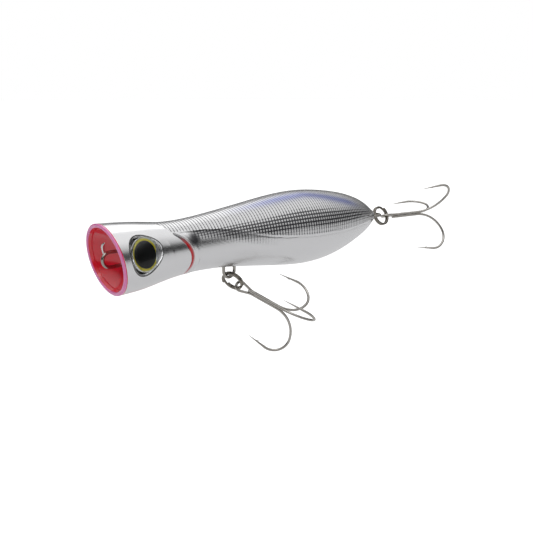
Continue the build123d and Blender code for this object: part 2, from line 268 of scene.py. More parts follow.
def bent(start: Array, heading: Array, side: Array, moves: list, step: float) -> tuple:
    """Follows a bent wire: straight lengths, and (radius, degrees) arcs towards the side.

    A point on an arc is centre - side * r * cos(a) + heading * r * sin(a).

    Args:
        start: first point.
        heading: first direction.
        side: direction of a positive bend.
        moves: lengths and (radius, degrees) pairs.
        step: distance between points.

    Returns:
        The points, and the last heading and side.
    """
    point, heading, side = (np.array(v, float) for v in (start, heading, side))
    lines = [point[None]]
    for move in moves:
        if isinstance(move, tuple):
            radius, degrees = move
            way = side * math.copysign(1, degrees)
            turn = math.radians(abs(degrees))
            count = max(int(radius * turn / step), 8)
            a = np.linspace(0, turn, count + 1)[1:, None]
            centre = point + way * radius
            line = centre - way * radius * np.cos(a) + heading * radius * np.sin(a)
            new = heading * math.cos(turn) + way * math.sin(turn)
            side = (way * math.cos(turn) - heading * math.sin(turn)) * math.copysign(1, degrees)
            heading = new
        else:
            count = max(int(move / step), 2)
            line = point + heading * np.linspace(0, move, count + 1)[1:, None]
        point = line[-1]
        lines.append(line)
    return np.concatenate(lines), heading, side


def node_points(*names: str) -> Array:
    """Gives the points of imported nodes, in millimetres."""
    clouds = []
    for name in names:
        mesh = frame["nodes"][name].data
        flat = np.zeros(len(mesh.vertices) * 3, np.float32)
        mesh.vertices.foreach_get("co", flat)
        clouds.append(flat.reshape(-1, 3).astype(float) / MM)
    return np.concatenate(clouds)


def joint_place(name: str) -> Array:
    """Gives the place of a joint, in millimetres."""
    return next(np.array(j["pos_m"]) / MM for j in frame["joints"] if j["name"] == name)


# ---- the body's outer shape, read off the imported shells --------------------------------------
@dataclass
class SmoothLine:
    """A height along X: a uniform cubic B-spline, fitted by least squares with stiff ends."""

    start: float
    step: float
    controls: Array

    @staticmethod
    def weights(x: Array, start: float, step: float, count: int) -> Array:
        """Gives the four cubic weights of each x, one row for each."""
        t = (x - start) / step
        cell = np.clip(np.floor(t).astype(int), 0, count - 4)
        f = t - cell
        four = [(1 - f) ** 3, 3 * f**3 - 6 * f**2 + 4, -3 * f**3 + 3 * f**2 + 3 * f + 1, f**3]
        table = np.zeros((len(x), count))
        for i, weight in enumerate(four):
            table[np.arange(len(x)), cell + i] = weight / 6
        return table

    @classmethod
    def fitted(cls, x: Array, height: Array, start: float, step: float, count: int) -> "SmoothLine":
        """Fits the line, then fits it again without the samples that lie off it.

        Args:
            x: where the samples are.
            height: the samples.
            start: first knot.
            step: distance between knots.
            count: how many controls.

        Returns:
            The fitted line.
        """
        keep = np.ones(len(x), bool)
        bend = np.diff(np.eye(count), 2, axis=0) * 0.05
        controls = np.zeros(count)
        for off in (0.35, 0.06, 0.06):
            table = cls.weights(x[keep], start, step, count)
            system = np.concatenate([table, bend])
            goal = np.concatenate([height[keep], np.zeros(len(bend))])
            controls = np.linalg.lstsq(system, goal, rcond=None)[0]
            keep = np.abs(cls.weights(x, start, step, count) @ controls - height) < off
        return cls(start, step, controls)

    def __call__(self, x: Array) -> Array:
        """Gives the height at each x."""
        table = self.weights(np.ravel(x), self.start, self.step, len(self.controls))
        return (table @ self.controls).reshape(np.shape(x))


@dataclass
class BodyShape:
    """The lure's skin: ellipses across X, between a line along the back and one along the belly."""

    back: SmoothLine
    belly: SmoothLine
    ratio: float
    mouth_x: float
    slope: float
    lip: float
    tail_x: float

    @classmethod
    def measured(cls) -> "BodyShape":
        """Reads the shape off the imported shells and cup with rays, and the mouth's slant off the cup.

        Returns:
            The shape, in millimetres.
        """
        trees = []
        for name in ("shell_left", "shell_right", "mouth_cup"):
            mesh = frame["nodes"][name].data
            faces = [tuple(face.vertices) for face in mesh.polygons]
            trees.append(BVHTree.FromPolygons([v.co for v in mesh.vertices], faces))
        low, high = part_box("shell_left")
        cup = node_points("mouth_cup")
        brow, chin = cup[cup[:, 0].argmin()], cup[cup[:, 2].argmin()]
        slope = (chin[0] - brow[0]) / (brow[2] - chin[2])
        mouth_x = brow[0] + slope * brow[2]
        tail = high.x / MM

        def line(sign: int, first: float) -> SmoothLine:
            """Fits the back (sign 1) or the belly (sign -1)."""
            x = np.arange(first, tail - 0.1, 0.4)
            x = x[(sign > 0) | (np.abs(x - joint_place(HANGER_JOINT)[0]) > BELLY_RECESS_REACH)]
            found = []
            for place in x:
                source = Vector((place, -0.25, sign * 40)) * MM
                hits = [t.ray_cast(source, Vector((0, 0, -sign)))[0] for t in trees]
                found.append(sign * max(sign * hit.z for hit in hits if hit) / MM)
            step = 5.0
            start = brow[0] - 0.5
            return SmoothLine.fitted(x, np.array(found), start, step, int((tail - start) / step) + 4)

        back, belly = line(1, brow[0] + 0.3), line(-1, chin[0] + 0.3)
        x = np.linspace(20, tail, 200)
        widest = ((back(x) - belly(x)) / 2).max()
        lip = (low.x / MM - brow[0]) * math.cos(math.atan(slope))
        return cls(back, belly, -low.y / MM / widest, mouth_x, slope, lip, tail)

    def half(self, x: Array) -> Array:
        """Gives half the body's height."""
        return (self.back(x) - self.belly(x)) / 2

    def middle(self, x: Array) -> Array:
        """Gives the height of the section's centre."""
        return (self.back(x) + self.belly(x)) / 2

    def point(self, station: Array, angle: Array, side: int = -1) -> Array:
        """Gives skin points.

        At the mouth a station is a slanted cut, and the slant fades out behind the head, so
        x = station - slope * fade * z, solved by repeating it.

        Args:
            station: place along X, at mid height.
            angle: radians from the side (0) to the back (pi/2).
            side: the sign of Y.

        Returns:
            Points x, y, z.
        """
        station, angle = np.broadcast_arrays(np.asarray(station, float), np.asarray(angle, float))
        fade = 1 - smooth_step(self.mouth_x + 2, self.mouth_x + 24, station)
        x = station.copy()
        for _ in range(6):
            z = self.middle(x) + self.half(x) * np.sin(angle)
            x = station - self.slope * fade * z
        half = self.half(x)
        y = side * self.ratio * half * np.cos(angle)
        return np.stack([x, y, self.middle(x) + half * np.sin(angle)], -1)

    def inside(self, points: Array) -> Array:
        """Gives below 0 inside the skin and above 0 outside, about in millimetres."""
        half = self.half(points[..., 0])
        y = points[..., 1] / (self.ratio * half)
        z = (points[..., 2] - self.middle(points[..., 0])) / half
        return (np.sqrt(y * y + z * z) - 1) * half


# ---- finishes ----------------------------------------------------------------------------------
class Recipe:
    """One material's nodes, with short calls to add and join them."""

    def __init__(self, name: str) -> None:
        """Starts a material with a Principled shader joined to its output."""
        self.material = bpy.data.materials.new(name)
        self.material.use_nodes = True
        self.tree = self.material.node_tree
        self.shader = self.tree.nodes["Principled BSDF"]

    def add(self, kind: str, inputs: dict | None = None, **settings: object) -> bpy.types.Node:
        """Adds a node.

        Args:
            kind: the node's type.
            inputs: values or sockets for its inputs, by name or number.
            settings: the node's own settings.

        Returns:
            The node.
        """
        node = self.tree.nodes.new(kind)
        for key, value in settings.items():
            setattr(node, key, value)
        for key, value in (inputs or {}).items():
            self.feed(node.inputs[key], value)
        return node

    def feed(self, socket: Socket, value: object) -> None:
        """Sets a socket, or joins another socket to it."""
        if isinstance(value, bpy.types.NodeSocket):
            self.tree.links.new(value, socket)
        else:
            socket.default_value = value

    def math(self, operation: str, *values: object) -> Socket:
        """Adds a Math node and gives its result."""
        return self.add("ShaderNodeMath", dict(enumerate(values)), operation=operation).outputs[0]

    def ease(self, low: object, high: object, value: Socket) -> Socket:
        """Eases a value from 0 at low to 1 at high."""
        inputs = {"Value": value, "From Min": low, "From Max": high}
        return self.add("ShaderNodeMapRange", inputs, interpolation_type="SMOOTHSTEP").outputs[0]

    def blend(self, factor: object, first: object, second: object) -> Socket:
        """Mixes two colours."""
        node = self.add("ShaderNodeMix", data_type="RGBA")
        for key, value in ((0, factor), (6, first), (7, second)):
            self.feed(node.inputs[key], value)
        return node.outputs[2]

    def place(self) -> Socket:
        """Gives the point's own place, in metres."""
        return self.add("ShaderNodeTexCoord").outputs["Object"]

    def group(self, group: bpy.types.NodeTree, inputs: dict) -> bpy.types.Node:
        """Places a shared node group."""
        return self.add("ShaderNodeGroup", inputs, node_tree=group)

    def grained(self, grain: bpy.types.NodeTree, scale: float) -> object:
        """Places the shared grain at a scale and gives its outputs."""
        return self.group(grain, {"Place": self.place(), "Scale": scale}).outputs

    def value(self, name: str) -> Socket:
        """Gives a value that is kept at each point."""
        return self.add("ShaderNodeAttribute", attribute_name=name).outputs["Fac"]

    def bump(self, height: Socket, distance: float, normal: Socket | None = None) -> Socket:
        """Adds relief of a height in metres and gives the normal."""
        inputs = {"Height": height, "Distance": distance, "Strength": 1.0}
        if normal is not None:
            inputs["Normal"] = normal
        return self.add("ShaderNodeBump", inputs).outputs["Normal"]

    def finish(self, **sockets: object) -> bpy.types.Material:
        """Feeds the shader's sockets, spaces for underscores, and gives the material."""
        for key, value in sockets.items():
            self.feed(self.shader.inputs[key.replace("_", " ")], value)
        return self.material


class SharedGroup(Recipe):
    """A shader node group, whose sockets are declared when it is made."""

    def __init__(self, name: str, inputs: dict[str, str], outputs: dict[str, str]) -> None:
        """Makes the group with sockets of the given kinds: Float, Color or Vector."""
        self.tree = bpy.data.node_groups.new(name, "ShaderNodeTree")
        for way, sockets in (("INPUT", inputs), ("OUTPUT", outputs)):
            for key, kind in sockets.items():
                self.tree.interface.new_socket(key, in_out=way, socket_type=f"NodeSocket{kind}")
        self.given = self.tree.nodes.new("NodeGroupInput").outputs
        self.result = self.tree.nodes.new("NodeGroupOutput").inputs


def grain_group() -> bpy.types.NodeTree:
    """Makes the shared fine grain: noise of one size, put out as a value and as a shade."""
    sockets = {"Place": "Vector", "Scale": "Float"}
    group = SharedGroup("fine_grain", sockets, {"Value": "Float", "Cloud": "Float"})
    place, scale = group.given["Place"], group.given["Scale"]
    fine = group.add("ShaderNodeTexNoise", {"Vector": place, "Scale": scale, "Detail": 3.0})
    wide = group.math("MULTIPLY", scale, CLOUD_SHARE)
    cloud = group.add("ShaderNodeTexNoise", {"Vector": place, "Scale": wide, "Detail": 2.0})
    group.feed(group.result["Value"], fine.outputs[0])
    group.feed(group.result["Cloud"], cloud.outputs[0])
    return group.tree


def scale_group() -> bpy.types.NodeTree:
    """Makes the shared scale print: one soft-cornered cell in each square of the column and row.

    With a and b the distances from the cell's centre, the cell is where
    (a / width) cubed plus (b / height) cubed is under 1. Tone 0 gives dots, tone 1 whole ribs.
    """
    sockets = {"Column": "Float", "Row": "Float", "Tone": "Float"}
    group = SharedGroup("scale_print", sockets, {"Cell": "Float", "Height": "Float"})
    terms = []
    for key, thin, wide in (("Column", 0.60, 0.80), ("Row", 0.56, 1.25)):
        part = group.math("FRACT", group.given[key])
        off = group.math("MULTIPLY", group.math("ABSOLUTE", group.math("SUBTRACT", part, 0.5)), 2.0)
        size = group.math("MULTIPLY_ADD", group.given["Tone"], wide - thin, thin)
        terms.append(group.math("POWER", group.math("DIVIDE", off, size), 3.0))
    total = group.math("ADD", *terms)
    group.feed(group.result["Cell"], group.ease(1.35, 0.7, total))
    group.feed(group.result["Height"], group.ease(1.6, 0.0, total))
    return group.tree


@dataclass(frozen=True)
class Metal:
    """Plated or drawn metal: base colour, roughness, and a grain of fine pits."""

    name: str
    color: tuple[float, float, float]
    roughness: float
    grain_scale: float = 4000.0
    pit_depth: float = 0.000004
    stain: tuple[float, float, float] = (0.30, 0.27, 0.22)
    stain_share: float = 0.25

    def make(self, grain: bpy.types.NodeTree) -> bpy.types.Material:
        """Makes the material: stained in clouds, with pits that also roughen it."""
        recipe = Recipe(self.name)
        noise = recipe.grained(grain, self.grain_scale)
        share = recipe.math("MULTIPLY", recipe.ease(0.45, 0.75, noise["Cloud"]), self.stain_share)
        color = recipe.blend(share, (*self.color, 1), (*self.stain, 1))
        rough = recipe.math("MULTIPLY_ADD", noise["Value"], 0.12, self.roughness - 0.06)
        normal = recipe.bump(noise["Value"], self.pit_depth)
        return recipe.finish(Base_Color=color, Metallic=1.0, Roughness=rough, Normal=normal)


@dataclass(frozen=True)
class Plastic:
    """Moulded plastic with a fine moulded grain and slight flow clouds."""

    name: str
    color: tuple[float, float, float]
    roughness: float
    transmission: float = 0.0
    depth: float = 0.000006

    def make(self, grain: bpy.types.NodeTree) -> bpy.types.Material:
        """Makes the material."""
        recipe = Recipe(self.name)
        noise = recipe.grained(grain, 2500.0)
        darker = tuple(c * 0.8 for c in self.color)
        color = recipe.blend(noise["Cloud"], (*self.color, 1), (*darker, 1))
        normal = recipe.bump(noise["Value"], self.depth)
        return recipe.finish(
            Base_Color=color, Roughness=self.roughness, Normal=normal, Transmission_Weight=self.transmission
        )


@dataclass(frozen=True)
class ChromePaint:
    """Satin chrome film, printed with scales and painted shade, airbrushed, under a clear coat."""

    film: tuple[float, float, float] = (0.80, 0.80, 0.81)
    # the print's black, also used for painted shade and shadow
    ink_and_painted_shade: tuple[float, float, float] = (0.022, 0.022, 0.027)
    red: tuple[float, float, float] = (0.62, 0.012, 0.02)
    blue: tuple[float, float, float] = (0.05, 0.09, 0.40)
    roughness: float = 0.24
    film_change: float = 0.12
    scale_relief: float = 0.00005
    hatch_relief: float = 0.000012
    grain_relief: float = 0.0000015

    def make(self, grain: bpy.types.NodeTree, scales: bpy.types.NodeTree) -> bpy.types.Material:
        """Makes the material from the skin's own values.

        Args:
            grain: the shared grain.
            scales: the shared scale print.

        Returns:
            The material. Paint holds red, ink with painted shade, and blue; print holds tone, print and
            belly.
        """
        recipe = Recipe("chrome_paint")
        read = {}
        for name in ("paint", "print"):
            color = recipe.add("ShaderNodeAttribute", attribute_name=name).outputs["Color"]
            parts = recipe.add("ShaderNodeSeparateColor", {"Color": color}).outputs
            read[name] = [parts[i] for i in range(3)]
        red, ink_and_painted_shade, blue = read["paint"]
        tone, printed, belly = read["print"]
        column = recipe.value("column")
        row = recipe.value("row")
        cell = recipe.group(scales, {"Column": column, "Row": row, "Tone": tone}).outputs
        noise = recipe.grained(grain, 3000.0)
        gap = recipe.math("MULTIPLY", recipe.math("SUBTRACT", 1.0, cell["Cell"]), printed)
        waves = []
        for lean in (2.2, -2.2):
            across = recipe.math("MULTIPLY_ADD", row, lean, recipe.math("MULTIPLY", column, 2.4))
            waves.append(recipe.math("SINE", recipe.math("MULTIPLY", across, math.pi)))
        fine = recipe.math("MULTIPLY", recipe.math("MULTIPLY", *waves), belly)
        cloudy = recipe.math("MULTIPLY", noise["Cloud"], self.film_change)
        film = recipe.blend(cloudy, (*self.film, 1), (0.62, 0.62, 0.66, 1))
        hatched = recipe.math("MULTIPLY", recipe.ease(0.1, 0.9, fine), self.film_change)
        film = recipe.blend(hatched, film, (0.55, 0.55, 0.6, 1))
        lit = recipe.blend(blue, film, (*self.blue, 1))
        dark = recipe.blend(recipe.math("MULTIPLY", blue, 0.7), (*self.ink_and_painted_shade, 1), (0.03, 0.06, 0.32, 1))
        color = recipe.blend(recipe.math("MULTIPLY", gap, 0.93), lit, dark)
        # black over the colour: the printed spot, back and tail, and the painted shade and shadow in
        # grooves and recesses
        color = recipe.blend(ink_and_painted_shade, color, (*self.ink_and_painted_shade, 1))
        color = recipe.blend(red, color, (*self.red, 1))
        cover = recipe.math("MAXIMUM", red, recipe.math("MULTIPLY", ink_and_painted_shade, 0.6))
        cover = recipe.math("MAXIMUM", cover, recipe.math("MULTIPLY", printed, 0.66))
        metal = recipe.math("SUBTRACT", 1.0, recipe.math("MULTIPLY", cover, 0.85))
        rough = recipe.math("MULTIPLY_ADD", noise["Value"], 0.08, self.roughness - 0.04)
        normal = recipe.bump(recipe.math("MULTIPLY", cell["Height"], printed), self.scale_relief)
        normal = recipe.bump(fine, self.hatch_relief, normal)
        normal = recipe.bump(noise["Value"], self.grain_relief, normal)
        return recipe.finish(
            Base_Color=color,
            Metallic=metal,
            Roughness=rough,
            Normal=normal,
            Coat_Weight=0.6,
            Coat_Roughness=0.06,
        )


@dataclass(frozen=True)
class RedCup:
    """Glossy see-through red, paler and pinker on the rolled rim."""

    deep: tuple[float, float, float] = (0.86, 0.008, 0.03)
    rim: tuple[float, float, float] = (0.88, 0.24, 0.56)

    def make(self, grain: bpy.types.NodeTree) -> bpy.types.Material:
        """Makes the material."""
        recipe = Recipe("red_cup")
        noise = recipe.grained(grain, 2200.0)
        rim = recipe.value("rim")
        cloudy = recipe.math("MULTIPLY", noise["Cloud"], 0.5)
        body = recipe.blend(cloudy, (*self.deep, 1), (0.78, 0.03, 0.06, 1))
        color = recipe.blend(rim, body, (*self.rim, 1))
        normal = recipe.bump(noise["Value"], 0.000003)
        return recipe.finish(
            Base_Color=color,
            Roughness=0.16,
            Normal=normal,
            Subsurface_Weight=0.25,
            Subsurface_Scale=0.002,
            Coat_Weight=0.8,
            Coat_Roughness=0.04,
        )


@dataclass(frozen=True)
class EyeFoil:
    """The eye's print by distance from its centre: black pupil, yellow ring, silver ring."""

    pupil: float = 0.77
    yellow: float = 0.87

    def make(self, grain: bpy.types.NodeTree) -> bpy.types.Material:
        """Makes the material from the disc's own radius value."""
        recipe = Recipe("eye_foil")
        reach = recipe.value("reach")
        noise = recipe.grained(grain, 5000.0)
        uneven = recipe.math("MULTIPLY_ADD", noise["Cloud"], 0.03, reach)
        silver = recipe.blend(noise["Value"], (0.92, 0.92, 0.9, 1), (0.75, 0.75, 0.72, 1))
        outside = recipe.ease(self.yellow, self.yellow + 0.06, uneven)
        ring = recipe.blend(outside, (0.86, 0.72, 0.03, 1), silver)
        black = recipe.ease(self.pupil + 0.012, self.pupil - 0.012, reach)
        color = recipe.blend(black, ring, (0.002, 0.002, 0.002, 1))
        metal = recipe.math("MULTIPLY", recipe.math("SUBTRACT", 1.0, black), 0.35)
        normal = recipe.bump(noise["Value"], 0.000004)
        return recipe.finish(Base_Color=color, Metallic=metal, Roughness=0.3, Normal=normal)


@dataclass(frozen=True)
class SocketFinish:
    """Chrome on the eye socket's rim, gloss black inside: paint, partly standing in for the recess's shade.
    """

    def make(self, grain: bpy.types.NodeTree) -> bpy.types.Material:
        """Makes the material from the socket's own inner value."""
        recipe = Recipe("eye_socket")
        inner = recipe.value("inner")
        noise = recipe.grained(grain, 3000.0)
        # black inside the recess: partly paint, partly painted shade and dark reflection of its steep wall
        color = recipe.blend(inner, (0.80, 0.80, 0.81, 1), (0.006, 0.006, 0.007, 1))
        metal = recipe.math("SUBTRACT", 1.0, inner)
        rough = recipe.math("MULTIPLY_ADD", noise["Value"], 0.08, 0.16)
        normal = recipe.bump(noise["Value"], 0.0000015)
        return recipe.finish(
            Base_Color=color,
            Metallic=metal,
            Roughness=rough,
            Normal=normal,
            Coat_Weight=0.6,
            Coat_Roughness=0.05,
        )


@dataclass(frozen=True)
class ClearDome:
    """Clear resin with a few fine ripples."""

    def make(self, grain: bpy.types.NodeTree) -> bpy.types.Material:
        """Makes the material."""
        recipe = Recipe("clear_dome")
        noise = recipe.grained(grain, 400.0)
        normal = recipe.bump(noise["Value"], 0.00001)
        tint = recipe.blend(noise["Cloud"], (0.98, 0.99, 0.99, 1), (0.94, 0.97, 0.97, 1))
        return recipe.finish(
            Base_Color=tint, Metallic=0.0, Roughness=0.02, IOR=1.38, Transmission_Weight=1.0, Normal=normal
        )


# ---- body ----------------------------------------------------------------------------------------
@dataclass
class Shells:
    """The two half shells, with their relief and the places of their paint and painted shade."""

    shape: BodyShape
    scale_pitch: float = 1.15
    samples_in_scale: int = 7
    scale_rows: int = 16
    samples_in_row: int = 4
    panel_from: float = 15.2
    head_step: float = 0.19
    wall: float = 1.7
    hollow: tuple[float, float] = (18.4, 102.4)
    channel: float = 0.65
    gill: tuple[float, float, float] = (14.7, -3.0, 10.4)
    crease: tuple[float, float, float] = (0.3, -4.2, 17.8)
    spot: tuple[float, float, float] = (26.0, 4.1, 2.2)
    hanger_seat: tuple[float, float, float] = (4.5, 1.6, 2.2)
    eye_sink: float = 3.4
    lap_height: float = 0.02
    gill_depth: float = 0.72
    ridge_height: float = 0.20
    fold_height: float = 0.13
    panel_depth: float = 0.08
    bead_height: float = 0.13
    groove_depth: float = 0.12
    seam_depth: float = 0.05
    blue_strength: float = 0.8
    panel_edge: tuple[float, float, float] = (15.65, 9.5, 0.81)
    panel_corner: float = 6.6
    fin_ray: tuple[float, float] = (3.1, 1.7)
    fin_rays: int = 3

    def stations(self) -> Array:
        """Gives the places along X: an even head, then so many for each scale, to the tail."""
        first = self.shape.mouth_x + self.shape.lip / math.cos(math.atan(self.shape.slope))
        count = int((self.panel_from - first) / self.head_step)
        head = np.linspace(first, self.panel_from, count, endpoint=False)
        step = self.scale_pitch / self.samples_in_scale
        scales = np.arange(self.panel_from, self.shape.tail_x, step)
        return np.concatenate([head, scales, [self.shape.tail_x]])

    def lateral(self, x: Array) -> Array:
        """Gives the side line's angle in degrees: high behind the gill, low along the tail.

        It is -3 + 51 / (1 + exp((x - 43) / 7.5)), and falls a little more past x = 83.
        """
        return -3 + 51 / (1 + np.exp((x - 43) / 7.5)) - 0.12 * np.maximum(0, x - 83)

    def gill_marks(self, x: Array, z: Array) -> tuple[Array, Array, Array, Array]:
        """Marks the gill groove, the ridge behind it and the scale panel that starts there.

        The groove is an arc that narrows at both ends.

        Args:
            x: place along the lure.
            z: height.

        Returns:
            The groove, the ridge, the panel and the bearing round the arc in degrees.
        """
        middle_x, middle_z, radius = self.gill
        reach = np.hypot(x - middle_x, z - middle_z)
        bearing = np.degrees(np.arctan2(z - middle_z, x - middle_x))
        along = smooth_step(70, 42, bearing) * smooth_step(-34, -18, bearing)
        width = 0.14 + 0.42 * along
        groove = smooth_step(width + 0.14, width - 0.1, np.abs(reach - radius))
        groove = groove * smooth_step(0.02, 0.2, along) * (x > middle_x)
        ridge = swell(reach - radius - 1.45 - 0.6 * along, 0.55) * along * (x > middle_x)
        from_x, from_z, fall = self.panel_edge
        line = (z - from_z + fall * (x - from_x)) / math.hypot(1, fall)
        over = z > self.panel_corner
        panel = np.where(over, smooth_step(-0.12, 0.12, line), smooth_step(-0.1, 0.1, reach - radius - 0.6))
        return groove, ridge, np.where((x < middle_x) & ~over, 0.0, panel), bearing

    def cheek_marks(self, x: Array, z: Array) -> tuple[Array, Array]:
        """Marks the cheek's curved fold and the short rising grooves of the small fin.

        Args:
            x: place along the lure.
            z: height.

        Returns:
            The fold and the fin grooves.
        """
        middle_x, middle_z, radius = self.crease
        before = radius - np.hypot(x - middle_x, z - middle_z)
        level = smooth_step(-9.5, -6.5, z) * smooth_step(5.2, 3.2, z)
        fold = np.where(before > 0, np.exp(-before / 1.6), np.exp(before / 0.12)) * level
        long, tall = self.fin_ray
        fins = np.zeros_like(x)
        for ray in range(self.fin_rays):
            from_x, from_z = 19.2 + 0.42 * ray, -4.3 + 0.75 * ray
            share = np.clip(((x - from_x) * long + (z - from_z) * tall) / (long**2 + tall**2), 0, 1)
            away = np.hypot(x - from_x - long * share, z - from_z - tall * share)
            fins = np.maximum(fins, swell(away, 0.16))
        return fold, fins

    def seat_mark(self, x: Array, y: Array, z: Array) -> Array:
        """Marks the round-ended recess in the belly where the hanger comes out."""
        long, wide, _ = self.hanger_seat
        off = np.maximum(np.abs(x - joint_place(HANGER_JOINT)[0]) - long + wide, 0)
        return smooth_step(0.25, -0.2, np.hypot(off, y) - wide) * (z < 0)

    def print_marks(self, x: Array, degrees: Array, arc: Array, panel: Array) -> dict[str, Array]:
        """Marks where scales are printed, how dark the print is, and the painted shade and reflection.

        Args:
            x: place along the lure.
            degrees: angle from the side to the back.
            arc: distance over the side line.
            panel: the scale panel.

        Returns:
            The part above the side line, the print, the painted shade under the line, the tail and the
            tone.
        """
        above = smooth_step(-0.05, 0.25, arc)
        fringe = smooth_step(-1, 1, arc + 3.4) * smooth_step(62, 40, x)
        printed = panel * np.maximum(above, fringe * smooth_step(24.5, 27, x))
        # the flank band between top and foot: partly the print's dark stripe, partly a painted reflection
        # of the dark belt that the chrome mirrors
        top = np.interp(x, [30, 40, 53, 70, 90, 105, 118], [38, 33, 31, 36, 29, 24, 24])
        foot = np.interp(x, [30, 55, 70, 90, 118], [20, 7, 12, 9, 6])
        dark = smooth_step(top + 9, top - 5, degrees) * smooth_step(foot - 9, foot + 5, degrees)
        dark *= smooth_step(27, 42, x)
        # painted shade: the dark band just under the side line's bead, from about x 24 to 58
        shade = smooth_step(3.9, 0.2, -arc) * (arc < 0) * smooth_step(24, 28, x) * smooth_step(58, 36, x)
        tail = smooth_step(96, 117, x) * above
        # the tone falls with the flank band's painted reflection, the painted shade and along the tail
        tone = np.clip(1 - np.maximum(dark, shade) - 0.35 * tail, 0, 1)
        return {"above": above, "printed": printed, "shade": shade, "tail": tail, "tone": tone}

    def relief(self, at: Array, degrees: Array) -> tuple[Array, dict[str, Array]]:
        """Works out how far each point stands out, and its paint, painted shade included.

        Args:
            at: skin points.
            degrees: each point's angle from the side to the back.

        Returns:
            Heights in millimetres and the values kept at each point.
        """
        x, y, z = at[..., 0], at[..., 1], at[..., 2]
        groove, ridge, panel, bearing = self.gill_marks(x, z)
        fold, fins = self.cheek_marks(x, z)
        seat = self.seat_mark(x, y, z)
        arc = np.radians(degrees - self.lateral(x)) * self.shape.half(x)
        run = smooth_step(19.5, 24.0, x) * smooth_step(114, 104, x)
        # under marks the groove below the bead: cut as relief here, and darkened further down as painted
        # shade
        bead, under = swell(arc, 0.24) * run, swell(arc + 0.55, 0.28) * run
        seam = swell(90 - np.abs(degrees), 1.1)

        mark = self.print_marks(x, degrees, arc, panel)
        above, printed, tone = mark["above"], mark["printed"], mark["tone"]
        crown = smooth_step(76, 90, degrees) * panel
        spot_x, spot_z, spot_radius = self.spot
        spot = np.exp(-((np.hypot(x - spot_x, z - spot_z) / spot_radius) ** 4))
        # painted shadow: the gill groove's upper end is darkened where the raised gill cover's edge shades
        # it
        gill_painted_shadow = 0.85 * groove * smooth_step(28, 48, bearing)
        # the spot is print; the gill groove's upper end, the hanger recess, the band under the side line
        # and the groove under its bead are painted shade
        ink_and_shade_marks = [spot, gill_painted_shadow, 0.7 * seat, 0.62 * mark["shade"], 0.6 * under * above]
        ink_and_painted_shade = np.maximum.reduce([*ink_and_shade_marks, 0.4 * crown, 0.3 * mark["tail"] * tone])
        blue = swell(degrees - (69 - 1.05 * np.maximum(0, x - 75)), 9.5)
        blue = blue * smooth_step(36, 66, x) * smooth_step(106, 95, x)
        throat = smooth_step(-50, -74, degrees) * smooth_step(27, 17, x) * 0.55
        red = np.maximum(groove * smooth_step(56, 34, bearing), throat)
        belly = panel * (1 - printed) * smooth_step(0, -0.6, arc)

        column = (x - self.panel_from) / self.scale_pitch
        row = (90 - degrees) / 90 * self.scale_rows
        lap = (column % 1.0) ** 1.5 * (1 - (2 * (row % 1.0) - 1) ** 4)
        rise = self.lap_height * printed * (lap - 0.5) - self.gill_depth * groove
        rise += self.ridge_height * ridge + self.fold_height * fold - self.panel_depth * panel
        rise += self.bead_height * bead - self.groove_depth * (under + fins)
        rise -= self.hanger_seat[2] * seat + self.seam_depth * seam
        values = {
            # the second paint channel holds the print's black together with the painted shade
            "paint": np.stack([red, ink_and_painted_shade, self.blue_strength * blue], -1).reshape(-1, 3),
            "print": np.stack([tone, printed, belly], -1).reshape(-1, 3),
            "column": column.ravel(),
            "row": row.ravel(),
        }
        return rise, values

    def cup_seat(self, angle: Array, side: Side) -> Array:
        """Gives the hollow that the mouth cup sits in: rings of a ball behind the cup's own.

        Args:
            angle: radians round the mouth, from its top to its bottom.
            side: which half.

        Returns:
            The rings, from the lip to the middle.
        """
        tilt = math.atan(self.shape.slope)
        inward = np.array([math.cos(tilt), 0, math.sin(tilt)])
        up = np.array([-math.sin(tilt), 0, math.cos(tilt)])
        cup = MouthCup(self.shape)
        ball = (cup.radius**2 + cup.depth**2) / (2 * cup.depth)
        outer = ball + cup.wall + 0.05
        turn = np.linspace(math.acos((self.shape.lip - cup.depth + ball) / outer), 0.06, 16)[:, None, None]
        across = np.stack([0 * angle, side.value * self.shape.ratio * np.cos(angle), 0 * angle], -1)
        ring = across + np.sin(angle)[:, None] * up
        mouth = np.array([self.shape.mouth_x, 0, 0])
        return mouth + outer * np.sin(turn) * ring + (cup.depth - ball + outer * np.cos(turn)) * inward

    def build(self, side: Side, eye: "Eye") -> bpy.types.Object:
        """Builds one shell: the relief skin, a plain inner wall and the four edges between them.

        A skin point is the shape's point moved along the normal by the relief. An inner point is
        the ellipse drawn in by the wall, down to the wire's channel in the solid head and tail.

        Args:
            side: which half.
            eye: the eye on that side, whose socket opens the skin.

        Returns:
            The shell.
        """
        station = self.stations()
        angle = np.radians(np.linspace(90, -90, 2 * self.scale_rows * self.samples_in_row + 1))
        grid = self.shape.point(station[:, None], angle[None, :], side.value)
        normal = unit(np.cross(np.gradient(grid, axis=0), np.gradient(grid, axis=1)))
        outwards = np.sign((normal[..., 1] * side.value).mean())
        rise, values = self.relief(grid, np.degrees(angle)[None, :] + 0 * station[:, None])
        end = np.clip((station - (self.shape.tail_x - 0.6)) / 0.6, 0, 1)[:, None]
        rise = rise - 0.3 * (1 - np.sqrt(1 - end * end)) - self.eye_sink * eye.opening(grid)
        skin = grid + normal * outwards * rise[..., None]
        skin[:, [0, -1], 1] = 0.0

